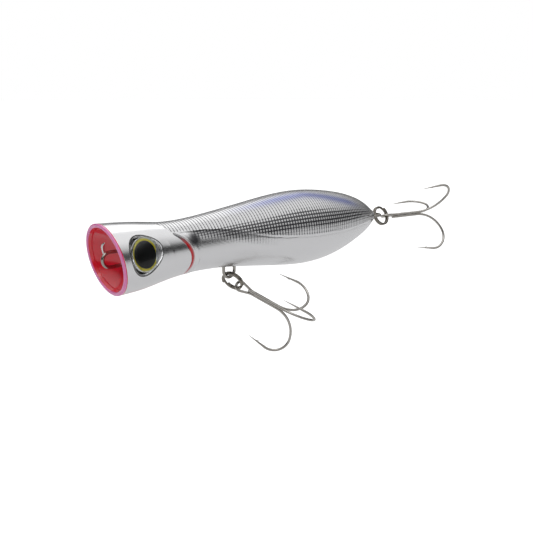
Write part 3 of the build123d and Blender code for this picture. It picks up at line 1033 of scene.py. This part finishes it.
        inner_angle = np.linspace(math.pi / 2, -math.pi / 2, 9)
        seat = self.cup_seat(inner_angle, side)
        inner_x = np.linspace(seat[-1, 4, 0] + 0.4, station[-1], 90)
        open_here = smooth_step(self.hollow[0] - 2, self.hollow[0], inner_x)
        open_here *= smooth_step(self.hollow[1] + 2, self.hollow[1], inner_x)
        room = open_here * (self.shape.half(inner_x) - self.wall - self.channel) + self.channel
        inner = self.shape.point(inner_x[:, None], inner_angle[None, :], side.value)
        run_z = joint_place(TAIL_JOINT)[2]
        centre = open_here * self.shape.middle(inner_x) + (1 - open_here) * run_z
        inner[..., 1] = side.value * self.shape.ratio * room[:, None] * np.cos(inner_angle)
        inner[..., 2] = centre[:, None] + room[:, None] * np.sin(inner_angle)
        inner = np.concatenate([seat, inner])
        inner[:, [0, -1], 1] = 0.0

        rows, columns = skin.shape[:2]
        first = rows * columns
        outer = np.arange(first).reshape(rows, columns)
        deep = np.arange(inner.shape[0] * inner.shape[1]).reshape(inner.shape[:2]) + first
        faces = [quads(rows, columns), quads(*inner.shape[:2], start=first)]
        for edge in (0, -1):
            faces += [zipped(outer[:, edge], deep[:, edge]), zipped(outer[edge], deep[edge])]
        blank = {k: np.zeros((deep.size, *v.shape[1:])) for k, v in values.items()}
        values = {k: np.concatenate([v, blank[k]]) for k, v in values.items()}
        points = np.concatenate([skin.reshape(-1, 3), inner.reshape(-1, 3)])
        name = f"shell_{side.name.lower()}"
        return Surface(points, faces, values).piece(f"{name}_skin", "body", "shell", name)


@dataclass
class MouthCup:
    """The red cup: a rolled rim on the front of the shells and a squeezed ball's hollow."""

    shape: BodyShape
    depth: float = 7.0
    radius: float = 10.4
    wall: float = 0.75
    line_at: float = 1.5
    line_depth: float = 0.12
    around: int = 256

    def build(self) -> bpy.types.Object:
        """Builds the cup as rings, from the hollow's middle over the rim to the back's middle.

        A hollow's ring at angle a from the axis has radius R sin a and depth c + R cos a. The rim
        is half an ellipse from the body's skin to the hollow's edge.

        Returns:
            The cup.
        """
        tilt = math.atan(self.shape.slope)
        inward = np.array([math.cos(tilt), 0, math.sin(tilt)])
        up = np.array([-math.sin(tilt), 0, math.cos(tilt)])
        mouth = np.array([self.shape.mouth_x, 0, 0])
        turn = np.arange(self.around) * 2 * math.pi / self.around
        ball = (self.radius**2 + self.depth**2) / (2 * self.depth)
        edge = math.asin(self.radius / ball)

        def bowl(angle: Array, radius: Array) -> Array:
            """Gives rings of the hollow for angles from the axis, on a ball of that radius."""
            out = radius * np.sin(angle)
            down = self.depth - ball + radius * np.cos(angle)
            flat = np.stack([np.cos(turn) * self.shape.ratio, np.sin(turn)], -1)
            ring = flat[None, :, 0, None] * out[:, None, None] * np.array([0, -1, 0])
            ring = ring + flat[None, :, 1, None] * out[:, None, None] * up
            return mouth + ring + down[:, None, None] * inward

        def skin(depth: Array) -> Array:
            """Gives rings on the body's skin at depths behind the mouth."""
            place = self.shape.mouth_x + depth[:, None] / math.cos(tilt)
            return self.shape.point(place, turn[None, :])

        step = self.line_at / ball
        line = edge - step
        bottom, beyond = np.linspace(0.02, line - 0.05, 34), np.linspace(line + 0.06, edge - 0.03, 8)
        angles = np.concatenate([bottom, line + np.linspace(-0.04, 0.05, 12), beyond])
        deeper = self.line_depth * smooth_step(line + 0.015, line - 0.015, angles)
        inside = bowl(angles, ball + deeper)
        roll = 0.45
        inner_edge = inside[-1]
        outer_edge = skin(np.array([roll]))[0]
        lean = np.linspace(0, math.pi, 17)[1:-1, None, None]
        low = (inner_edge + outer_edge) / 2
        high = (skin(np.array([0.02]))[0] + bowl(np.array([edge]), np.array([ball]))[0]) / 2
        rim = low + (inner_edge - low) * np.cos(lean) + (high - low) * np.sin(lean)
        skirt = skin(np.linspace(roll, self.shape.lip, 5))
        back_angle = np.linspace(edge - 0.12, 0.02, 30)
        back = bowl(back_angle, np.full(30, ball + self.wall))
        rings = np.concatenate([inside, rim, skirt, back])
        cup = polar(rings)
        shade = np.zeros(len(rings))
        first = len(inside)
        shade[first : first + len(rim) + 2] = 1.0
        shade[first - 2 : first] = (0.25, 0.7)
        cup.values["rim"] = np.concatenate([np.repeat(shade, self.around), [0, 0]])
        return cup.piece("mouth_cup_moulding", "body", "cup", "mouth_cup")


@dataclass
class Eye:
    """One eye: an egg-shaped socket, a printed disc on its floor and a clear dome."""

    shape: BodyShape
    side: Side
    middle_radius: float = 5.92
    socket_depth: float = 2.05
    dome_stands: float = 0.25

    def __post_init__(self) -> None:
        """Reads the eye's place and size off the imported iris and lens."""
        name = self.side.name.lower()
        disc = node_points(f"iris_{name}")
        self.centre = (disc.min(0) + disc.max(0)) / 2
        facing = np.linalg.eigh(np.cov((disc - disc.mean(0)).T))[1][:, 0]
        self.out = facing * math.copysign(1, facing[1] * self.side.value)
        self.back = unit(np.array([1.0, 0, 0.05]) - self.out * (self.out @ np.array([1.0, 0, 0.05])))
        self.up = np.cross(self.back, self.out) * -self.side.value
        self.up *= math.copysign(1, self.up[2])
        local = (disc - self.centre) @ np.stack([self.back, self.up, self.out], 1)
        self.long, self.tall, self.thick = (local.max(0) - local.min(0)) / 2
        dome = (node_points(f"eye_lens_{name}") - self.centre) @ self.out
        self.dome_from, self.dome_to = dome.min(), dome.max()
        self.face = self.centre + (self.dome_to - self.dome_stands) * self.out

    def egg(self, bearing: Array) -> Array:
        """Gives the socket's radius: a mean, one swell to the front and three round the rim."""
        one = 0.40 * np.cos(bearing - math.radians(165))
        three = 0.42 * np.cos(3 * (bearing - math.radians(9.3)))
        return self.middle_radius + one + three

    def flat(self, points: Array) -> tuple[Array, Array, Array]:
        """Gives points as distance and bearing in the eye's plane, and height over it."""
        off = points - self.face
        a, b = off @ self.back, off @ self.up
        return np.hypot(a, b), np.arctan2(b, a), off @ self.out

    def opening(self, points: Array) -> Array:
        """Gives 1 where the skin is sunk under the socket, 0 elsewhere."""
        reach, bearing, height = self.flat(points)
        return smooth_step(-0.12, -0.5, reach - self.egg(bearing)) * (height > -6)

    def raise_to_skin(self, a: Array, b: Array) -> Array:
        """Moves points of the eye's plane out along its axis to the body's skin, by Newton steps."""
        height = np.zeros_like(a)
        base = self.face + a[..., None] * self.back + b[..., None] * self.up
        small = 0.01
        for _ in range(8):
            here = self.shape.inside(base + height[..., None] * self.out)
            ahead = self.shape.inside(base + (height + small)[..., None] * self.out)
            height = height - np.clip(here / ((ahead - here) / small), -1.5, 1.5)
        return base + height[..., None] * self.out

    def build(self, finishes: dict[str, bpy.types.Material]) -> None:
        """Builds the socket, the printed disc and the dome.

        Args:
            finishes: the materials by name.
        """
        name = self.side.name.lower()
        bearing = np.arange(160) * 2 * math.pi / 160
        radius = self.egg(bearing)
        profile = [(0.42, -0.22), (0.36, 0.0), (0.24, 0.035), (0.10, 0.045), (0.0, 0.0), (-0.06, -0.1)]
        profile += [(-0.10, -0.3), (-0.14, -0.8), (-0.2, -1.5), (-0.34, -1.9), (-0.6, -2.0), (-1.2, -2.03)]
        grow, rise = np.array(profile).T
        reach = radius[None] + grow[:, None]
        spots = self.raise_to_skin(reach * np.cos(bearing), reach * np.sin(bearing))
        rings = spots + rise[:, None, None] * self.out
        lip_back = rings[:1] - 0.5 * self.out
        middle = self.face - self.socket_depth * self.out
        floor = middle + (rings[-1] - rings[-1].mean(0)) * 0.3
        below = floor - 0.5 * self.out
        socket = polar(np.concatenate([floor[None], rings[::-1], lip_back, below[None]]))
        # the socket's wall and floor are black: paint, partly standing in for the deep recess's shade
        dark = np.concatenate([np.ones(rings.shape[0] - 2), np.zeros(2)])
        dark = np.concatenate([[1.0], dark, [0.0, 1.0]])
        socket.values["inner"] = np.concatenate([np.repeat(dark, 160), [1.0, 1.0]])
        piece = socket.piece(f"eye_socket_{name}", "body", "shell")
        piece.data.materials.append(finishes["socket"])

        share = np.concatenate([np.linspace(0.02, 0.98, 40), [1.0, 1.0, 0.9, 0.02]])
        lift = np.concatenate([0.10 * (1 - np.linspace(0.02, 0.98, 40) ** 2), [-0.05, -0.4, -0.4, -0.4]])
        disc = self.ellipse(share, lift + self.thick)
        disc.values["reach"] = np.concatenate([np.repeat(share, 96), [0, 0]])
        piece = disc.piece(f"eye_print_{name}", "body", "iris", f"iris_{name}")
        piece.data.materials.append(finishes["foil"])

        t = np.linspace(0.03, 1, 30)
        rise = self.dome_to - self.dome_from
        crown = 0.35 * rise + 0.65 * rise * np.sqrt(1 - (0.985 * t) ** 2)
        share = np.concatenate([t, [1.0, 0.985, 0.5, 0.02]])
        lift = np.concatenate([crown, [0.12, 0.12, 0.12, 0.12]]) + self.dome_from
        dome = self.ellipse(share * 0.995, lift)
        piece = dome.piece(f"eye_dome_{name}", "body", "lens", f"eye_lens_{name}")
        piece.data.materials.append(finishes["dome"])

    def ellipse(self, share: Array, lift: Array) -> Surface:
        """Gives rings of the bead's ellipse, each a share of its size and lifted from its middle."""
        turn = np.arange(96) * 2 * math.pi / 96
        ring = np.cos(turn)[:, None] * self.long * self.back + np.sin(turn)[:, None] * self.tall * self.up
        return polar(self.centre + share[:, None, None] * ring + lift[:, None, None] * self.out)


# ---- wire, rings and trebles ------------------------------------------------------------------------
@dataclass
class ThroughWire:
    """One bent wire with the nose, belly and tail loops, sized from its packed box and the joints."""

    radius: float = 0.55
    leg: float = 14.0
    tail_leg: float = 12.0
    shift_bend: float = 6.0

    def build(self) -> bpy.types.Object:
        """Sweeps a round section along the wire's straights and arcs.

        Returns:
            The wire.
        """
        low, high = (np.array(corner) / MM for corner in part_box("through_wire"))
        loop = -low[0] - self.radius
        hanger, tail = joint_place(HANGER_JOINT), joint_place(TAIL_JOINT)
        tail_loop = high[1] - self.radius
        run_z = tail[2]
        drop = -(hanger[2] + loop) - 2 * loop
        shift = math.degrees(math.acos(1 - tail_loop / (2 * self.shift_bend)))
        shift_run = 2 * self.shift_bend * math.sin(math.radians(shift))
        run = tail[0] - tail_loop - self.tail_leg - shift_run - hanger[0] - 2 * loop
        moves = [self.leg, (loop, 180), hanger[0] - 2 * loop, (loop, -90), drop, (loop, 180)]
        moves += [run_z - hanger[2] - 2 * loop, (loop, -90), run]
        front, heading, _ = bent((self.leg, 0, loop), (-1, 0, 0), (0, 0, -1), moves, 0.25)
        moves = [(self.shift_bend, shift), (self.shift_bend, -shift), self.tail_leg]
        moves += [(tail_loop, -180), self.tail_leg]
        rear, _, _ = bent(front[-1], heading, (0, -1, 0), moves, 0.25)
        blend = smooth_step(hanger[0] + 8, hanger[0] + 30, front[:, :1])
        turned = (1 - blend) * np.array([0, 1.0, 0]) + blend * np.array([0, 0, 1.0])
        path = np.concatenate([front, rear[1:]])
        reference = np.concatenate([turned, np.tile([0, 0, 1.0], (len(rear) - 1, 1))])
        wire = swept(path, reference, circle(20), np.full(len(path), self.radius))
        return wire.piece("through_wire_drawn", "body", "wire", "through_wire")


@dataclass
class SplitRing:
    """A flattened wire wound nearly twice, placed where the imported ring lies."""

    hanger: Hanger
    radius: float = 3.55
    radial: float = 0.78
    axial: float = 0.66
    pitch: float = 0.70
    turns: float = 1.93

    def build(self) -> bpy.types.Object:
        """Sweeps a rounded oblong along a helix.

        The ring's axis is the direction in which its packed points spread least, and its first
        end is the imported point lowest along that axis. The section is a superellipse.

        Returns:
            The ring.
        """
        name = f"{self.hanger.value}_split_ring"
        cloud = node_points(name)
        axis = np.linalg.eigh(np.cov((cloud - cloud.mean(0)).T))[1][:, 0]
        first_way = unit(np.cross(axis, [0.3, 0.5, 0.8]))
        basis = np.stack([first_way, np.cross(axis, first_way), axis], 1)
        local = cloud @ basis
        middle = basis @ ((local.max(0) + local.min(0)) / 2)
        local = (cloud - middle) @ basis
        end = local[local[:, 2] < local[:, 2].min() + 0.004]
        start = math.atan2(end[:, 1].mean(), end[:, 0].mean())
        turn = np.linspace(0, self.turns * 2 * math.pi, 260)
        climb = self.pitch * (turn / (2 * math.pi) - self.turns / 2)
        helix = np.stack([self.radius * np.cos(turn + start), self.radius * np.sin(turn + start), climb], 1)
        round_it = circle(20)
        section = np.sign(round_it) * np.abs(round_it) ** 0.55
        size = np.tile([self.axial / 2, self.radial / 2], (len(turn), 1))
        size[[0, -1]] *= 0.86
        ring = swept(middle + helix @ basis.T, axis, section, size)
        return ring.piece(f"{name}_wound", f"{self.hanger.value}_ring", "ring", name)


@dataclass
class Treble:
    """A treble hook: a double hook bent from one wire, a short-shanked third hook and the braze."""

    hanger: Hanger
    wire: float = 0.95
    gap: float = 0.03
    eye_radius: float = 1.6
    eye_taper: float = 15.0
    eye_blend: float = 6.0
    shank: float = 14.9
    flare: tuple[float, float] = (10.85, 74.5)
    bend: tuple[float, float] = (5.48, 113.9)
    point: float = 7.7
    tip: float = 0.05
    barb_at: float = 3.3
    barb_length: float = 1.7
    barb_lift: float = 24.0
    third_from: float = 2.9
    braze_span: tuple[float, float] = (5.4, 11.4)
    braze_radius: float = 0.86

    def __post_init__(self) -> None:
        """Reads the shank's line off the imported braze, and the third hook's way off that hook."""
        prefix = self.hanger.value
        braze = node_points(f"{prefix}_hook_braze")
        third = node_points(f"{prefix}_single_hook")
        both = node_points(f"{prefix}_double_hook")
        shank = np.linalg.eigh(np.cov((braze - braze.mean(0)).T))[1][:, 2]
        shank = shank * math.copysign(1, (both.mean(0) - braze.mean(0)) @ shank)
        along = (braze - braze.mean(0)) @ shank
        self.eye = braze.mean(0) + shank * (along.min() - self.braze_span[0])
        way = third.mean(0) - self.eye
        way = unit(way - shank * (way @ shank))
        self.basis = np.stack([shank, np.cross(way, shank), way])

    def hung(self, surface: Surface) -> Surface:
        """Moves a surface from the treble's own frame to where it hangs."""
        surface.points = self.eye + surface.points @ self.basis
        return surface

    def arm(self, degrees: float, start: float, eye: Array | None) -> list[Surface]:
        """Gives one hook: its wire with a tapered point, and its barb.

        Args:
            degrees: the hook's bearing round the shank.
            start: where its own straight shank begins.
            eye: path points of the eye that lead into it.

        Returns:
            The wire and the barb.
        """
        bearing = math.radians(degrees)
        way = np.array([0, math.cos(bearing), math.sin(bearing)])
        forward = np.array([1.0, 0, 0])
        offset = (self.wire + self.gap) / math.sqrt(3)
        moves = [self.shank - start, self.flare, self.bend, self.point]
        path, heading, inward = bent(forward * start + way * offset, forward, way, moves, 0.22)
        last = path[-1]
        flat = np.cross(forward, way)
        reference = np.tile(flat, (len(path), 1))
        if eye is not None:
            share = smooth_step(start, self.shank, path[:, :1])
            sign = math.copysign(1.0, flat[2])
            reference = (1 - share) * np.array([0, 0, sign]) + share * flat
            path = np.concatenate([eye[:-1], path])
            reference = np.concatenate([np.tile([0, 0, sign], (len(eye) - 1, 1)), reference])
        left = np.linalg.norm(path - last, axis=1)
        straight = left < self.point
        share = np.where(straight, np.clip(left / self.point, 0, 1), 1.0)
        radius = self.tip + (self.wire / 2 - self.tip) * share
        radius[0] *= 0.8 if eye is None else 1.0
        bent_part = smooth_step(self.shank, self.shank + 5, path[:, 0]) * share
        forged = np.stack([radius * (1 - 0.07 * bent_part), radius], 1)
        wire = swept(path, reference, circle(20), forged)
        lift = math.radians(self.barb_lift)
        root = last - heading * self.barb_at
        back = inward * math.sin(lift) - heading * math.cos(lift)
        run = np.linspace(0, 1, 12)
        spine = root + back * self.barb_length * run[:, None]
        barb = swept(spine, flat, circle(10), 0.05 + 0.13 * (1 - run) ** 0.8)
        return [wire, barb]

    def eye_half(self, sign: float) -> Array:
        """Gives the path round half of the eye, from its far end to the start of a shank."""
        taper = math.radians(self.eye_taper)
        half = (self.wire + self.gap) / 2
        plane = -half / math.sqrt(3)
        narrowing = self.eye_radius * math.cos(taper) - half - self.eye_blend * (1 - math.cos(taper))
        moves = [(self.eye_radius, 90 + self.eye_taper), narrowing / math.sin(taper)]
        moves += [(self.eye_blend, -self.eye_taper)]
        return bent((-self.eye_radius, 0, plane), (0, sign, 0), (1, 0, 0), moves, 0.18)[0]

    def build(self, finishes: dict[str, bpy.types.Material]) -> None:
        """Builds the double hook, the third hook and the lumpy braze between the shanks.

        Args:
            finishes: the materials by name.
        """
        prefix, body = self.hanger.value, f"{self.hanger.value}_treble"
        parts = []
        for degrees in (210, 330):
            half = self.eye_half(math.copysign(1, math.cos(math.radians(degrees))))
            parts += self.arm(degrees, half[-1][0], half)
        double = self.hung(Surface.joined(parts)).piece(
            f"{prefix}_double_hook_bent", body, "hook", f"{prefix}_double_hook"
        )
        third = self.hung(Surface.joined(self.arm(90, self.third_from, None))).piece(
            f"{prefix}_third_hook_bent", body, "hook", f"{prefix}_single_hook"
        )
        run = np.linspace(0, 1, 70)
        first, last = self.braze_span
        spine = np.stack([first + (last - first) * run, 0 * run, 0 * run], 1)
        turn = np.arange(30) * 2 * math.pi / 30
        lumps = 0.05 * np.sin(9 * run)[:, None] * np.cos(3 * turn) + 0.03 * np.sin(31 * run + 1)[:, None]
        swell = (0.72 + 0.28 * np.sin(math.pi * np.clip(run, 0.03, 0.97)) ** 0.35)[:, None]
        radius = self.braze_radius * (swell + lumps * 0.8)
        rings = spine[:, None] + np.stack([0 * radius, radius * np.cos(turn), radius * np.sin(turn)], -1)
        braze = self.hung(polar(rings)).piece(f"{prefix}_braze_fill", body, "braze", f"{prefix}_hook_braze")
        double.data.materials.append(finishes["hook"])
        third.data.materials.append(finishes["hook"])
        braze.data.materials.append(finishes["braze"])


# ---- studio ----------------------------------------------------------------------------------------
@dataclass
class Studio:
    """White sweep of floor, soft sky with a dark belt at the horizon, softboxes and the camera."""

    aim: tuple[float, float, float] = (62.56, 0.0, -11.84)
    azimuth: float = -40.79
    elevation: float = 13.43
    distance: float = 274.7
    lens: float = 52.0
    floor_below: float = 45.0
    belt: tuple[tuple[float, float], ...] = (
        (0.0, 0.80),
        (0.46, 0.62),
        (0.487, 0.12),
        (0.52, 0.02),
        (0.645, 0.03),
        (0.73, 0.55),
        (0.85, 0.95),
    )
    floor_glow: float = 0.8

    def sky(self) -> None:
        """Makes the sky by height: pale below, dark just over the horizon, bright above."""
        world = bpy.data.worlds.new("studio")
        bpy.context.scene.world = world
        world.use_nodes = True
        tree = world.node_tree
        place = tree.nodes.new("ShaderNodeTexCoord")
        split = tree.nodes.new("ShaderNodeSeparateXYZ")
        lift = tree.nodes.new("ShaderNodeMapRange")
        lift.inputs["From Min"].default_value = -1.0
        ramp = tree.nodes.new("ShaderNodeValToRGB")
        elements = ramp.color_ramp.elements
        for height, value in self.belt[1:-1]:
            elements.new(height).color = (value, value, value, 1)
        elements[-1].position = self.belt[-1][0]
        for end in (0, -1):
            elements[end].color = (self.belt[end][1],) * 3 + (1,)
        white = tree.nodes.new("ShaderNodeBackground")
        white.inputs["Color"].default_value = (1, 1, 1, 1)
        soft = tree.nodes["Background"]
        rays = tree.nodes.new("ShaderNodeLightPath")
        mix = tree.nodes.new("ShaderNodeMixShader")
        tree.links.new(place.outputs["Generated"], split.inputs[0])
        tree.links.new(split.outputs["Z"], lift.inputs["Value"])
        tree.links.new(lift.outputs[0], ramp.inputs[0])
        tree.links.new(ramp.outputs[0], soft.inputs["Color"])
        tree.links.new(rays.outputs["Is Camera Ray"], mix.inputs[0])
        tree.links.new(soft.outputs[0], mix.inputs[1])
        tree.links.new(white.outputs[0], mix.inputs[2])
        tree.links.new(mix.outputs[0], tree.nodes["World Output"].inputs["Surface"])

    def softbox(self, name: str, place: tuple, size: float, power: float) -> None:
        """Adds a square soft light that faces the lure.

        Args:
            name: the light's name.
            place: where it is, in millimetres.
            size: its side, in millimetres.
            power: watts.
        """
        lamp = bpy.data.lights.new(name, "AREA")
        lamp.size = size * MM
        lamp.energy = power
        thing = bpy.data.objects.new(name, lamp)
        thing.location = Vector(place) * MM
        thing.rotation_euler = (Vector(self.aim) - Vector(place)).to_track_quat("-Z", "Y").to_euler()
        bpy.context.scene.collection.objects.link(thing)

    def floor(self, low: Vector) -> None:
        """Makes the pale floor, a wide disc under the lure with a slightly clouded finish."""
        turn = np.arange(96) * 2 * math.pi / 96
        reach = np.geomspace(20, 6000, 30)
        height = low.z / MM - self.floor_below
        rings = reach[:, None, None] * np.stack([np.cos(turn), np.sin(turn), 0 * turn], -1)
        points = (rings + np.array([self.aim[0], 0, height])).reshape(-1, 3) * MM
        mesh = bpy.data.meshes.new("floor")
        faces = quads(len(reach), 96, wrap=True).tolist() + [list(range(96))]
        mesh.from_pydata(points.tolist(), [], faces)
        thing = bpy.data.objects.new("floor", mesh)
        bpy.context.scene.collection.objects.link(thing)
        recipe = Recipe("floor")
        cloud = recipe.add("ShaderNodeTexNoise", {"Vector": recipe.place(), "Scale": 3.0}).outputs[0]
        color = recipe.blend(cloud, (0.80, 0.80, 0.80, 1), (0.77, 0.77, 0.775, 1))
        rays = recipe.add("ShaderNodeLightPath").outputs
        seen = recipe.math("MULTIPLY", rays["Is Camera Ray"], self.floor_glow)
        recipe.finish(Base_Color=color, Roughness=0.9, Emission_Color=color, Emission_Strength=seen)
        mesh.materials.append(recipe.material)
        thing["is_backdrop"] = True

    def camera(self) -> None:
        """Places the camera on its line of sight."""
        lens = bpy.data.cameras.new("camera")
        lens.lens, lens.sensor_width = self.lens, 36.0
        lens.clip_start, lens.clip_end = 0.01, 50.0
        a, e = math.radians(self.azimuth), math.radians(self.elevation)
        back = Vector((math.sin(a) * math.cos(e), -math.cos(a) * math.cos(e), math.sin(e)))
        thing = bpy.data.objects.new("camera", lens)
        thing.location = (Vector(self.aim) + back * self.distance) * MM
        thing.rotation_euler = (-back).to_track_quat("-Z", "Y").to_euler()
        bpy.context.scene.collection.objects.link(thing)
        bpy.context.scene.camera = thing

    def build(self, low: Vector) -> None:
        """Makes the sky, the lights, the floor and the camera."""
        bpy.context.scene.view_settings.view_transform = "Standard"
        self.sky()
        self.softbox("key", (-150, -260, 420), 320, 0.30)
        self.softbox("rim", (260, 240, 380), 280, 0.18)
        self.floor(low)
        self.camera()


def dress_nodes(grain: bpy.types.NodeTree) -> None:
    """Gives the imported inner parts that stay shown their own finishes."""
    brass = Metal("cast_brass", (0.55, 0.42, 0.20), 0.35, 2500.0, 0.00001).make(grain)
    steel = Metal("ball_steel", (0.72, 0.72, 0.74), 0.10, 6000.0, 0.000001).make(grain)
    clear = Plastic("clear_tube", (0.86, 0.90, 0.92), 0.08, 0.85).make(grain)
    black = Plastic("black_plug", (0.03, 0.03, 0.033), 0.45).make(grain)
    finishes = {"weight": brass, "ball": steel, "rattle_tube": clear, "plug": black}
    for name, thing in frame["nodes"].items():
        for key, material in finishes.items():
            if key in name and not thing.hide_render:
                thing.data.materials.clear()
                thing.data.materials.append(material)
                LOG.info("%s keeps its packed shape", name)


def main() -> None:
    """Builds every sub-assembly in order."""
    logging.basicConfig(level=logging.INFO, format="%(message)s")
    cad_low, cad_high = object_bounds()
    grain, scales = grain_group(), scale_group()
    finishes = {
        "skin": ChromePaint().make(grain, scales),
        "cup": RedCup().make(grain),
        "socket": SocketFinish().make(grain),
        "foil": EyeFoil().make(grain),
        "dome": ClearDome().make(grain),
        "wire": Metal("drawn_wire", (0.40, 0.38, 0.35), 0.2).make(grain),
        "ring": Metal("nickel_ring", (0.27, 0.25, 0.22), 0.2).make(grain),
        "hook": Metal("tinned_hook", (0.50, 0.48, 0.45), 0.16).make(grain),
        "braze": Metal("silver_braze", (0.38, 0.365, 0.34), 0.34, 2200.0, 0.00003).make(grain),
    }
    Studio().build(cad_low)
    shape = BodyShape.measured()
    shells = Shells(shape)
    for side in Side:
        eye = Eye(shape, side)
        shells.build(side, eye).data.materials.append(finishes["skin"])
        eye.build(finishes)
    MouthCup(shape).build().data.materials.append(finishes["cup"])
    ThroughWire().build().data.materials.append(finishes["wire"])
    for hanger in Hanger:
        SplitRing(hanger).build().data.materials.append(finishes["ring"])
        Treble(hanger).build(finishes)
    dress_nodes(grain)


if __name__ == "__main__":
    main()
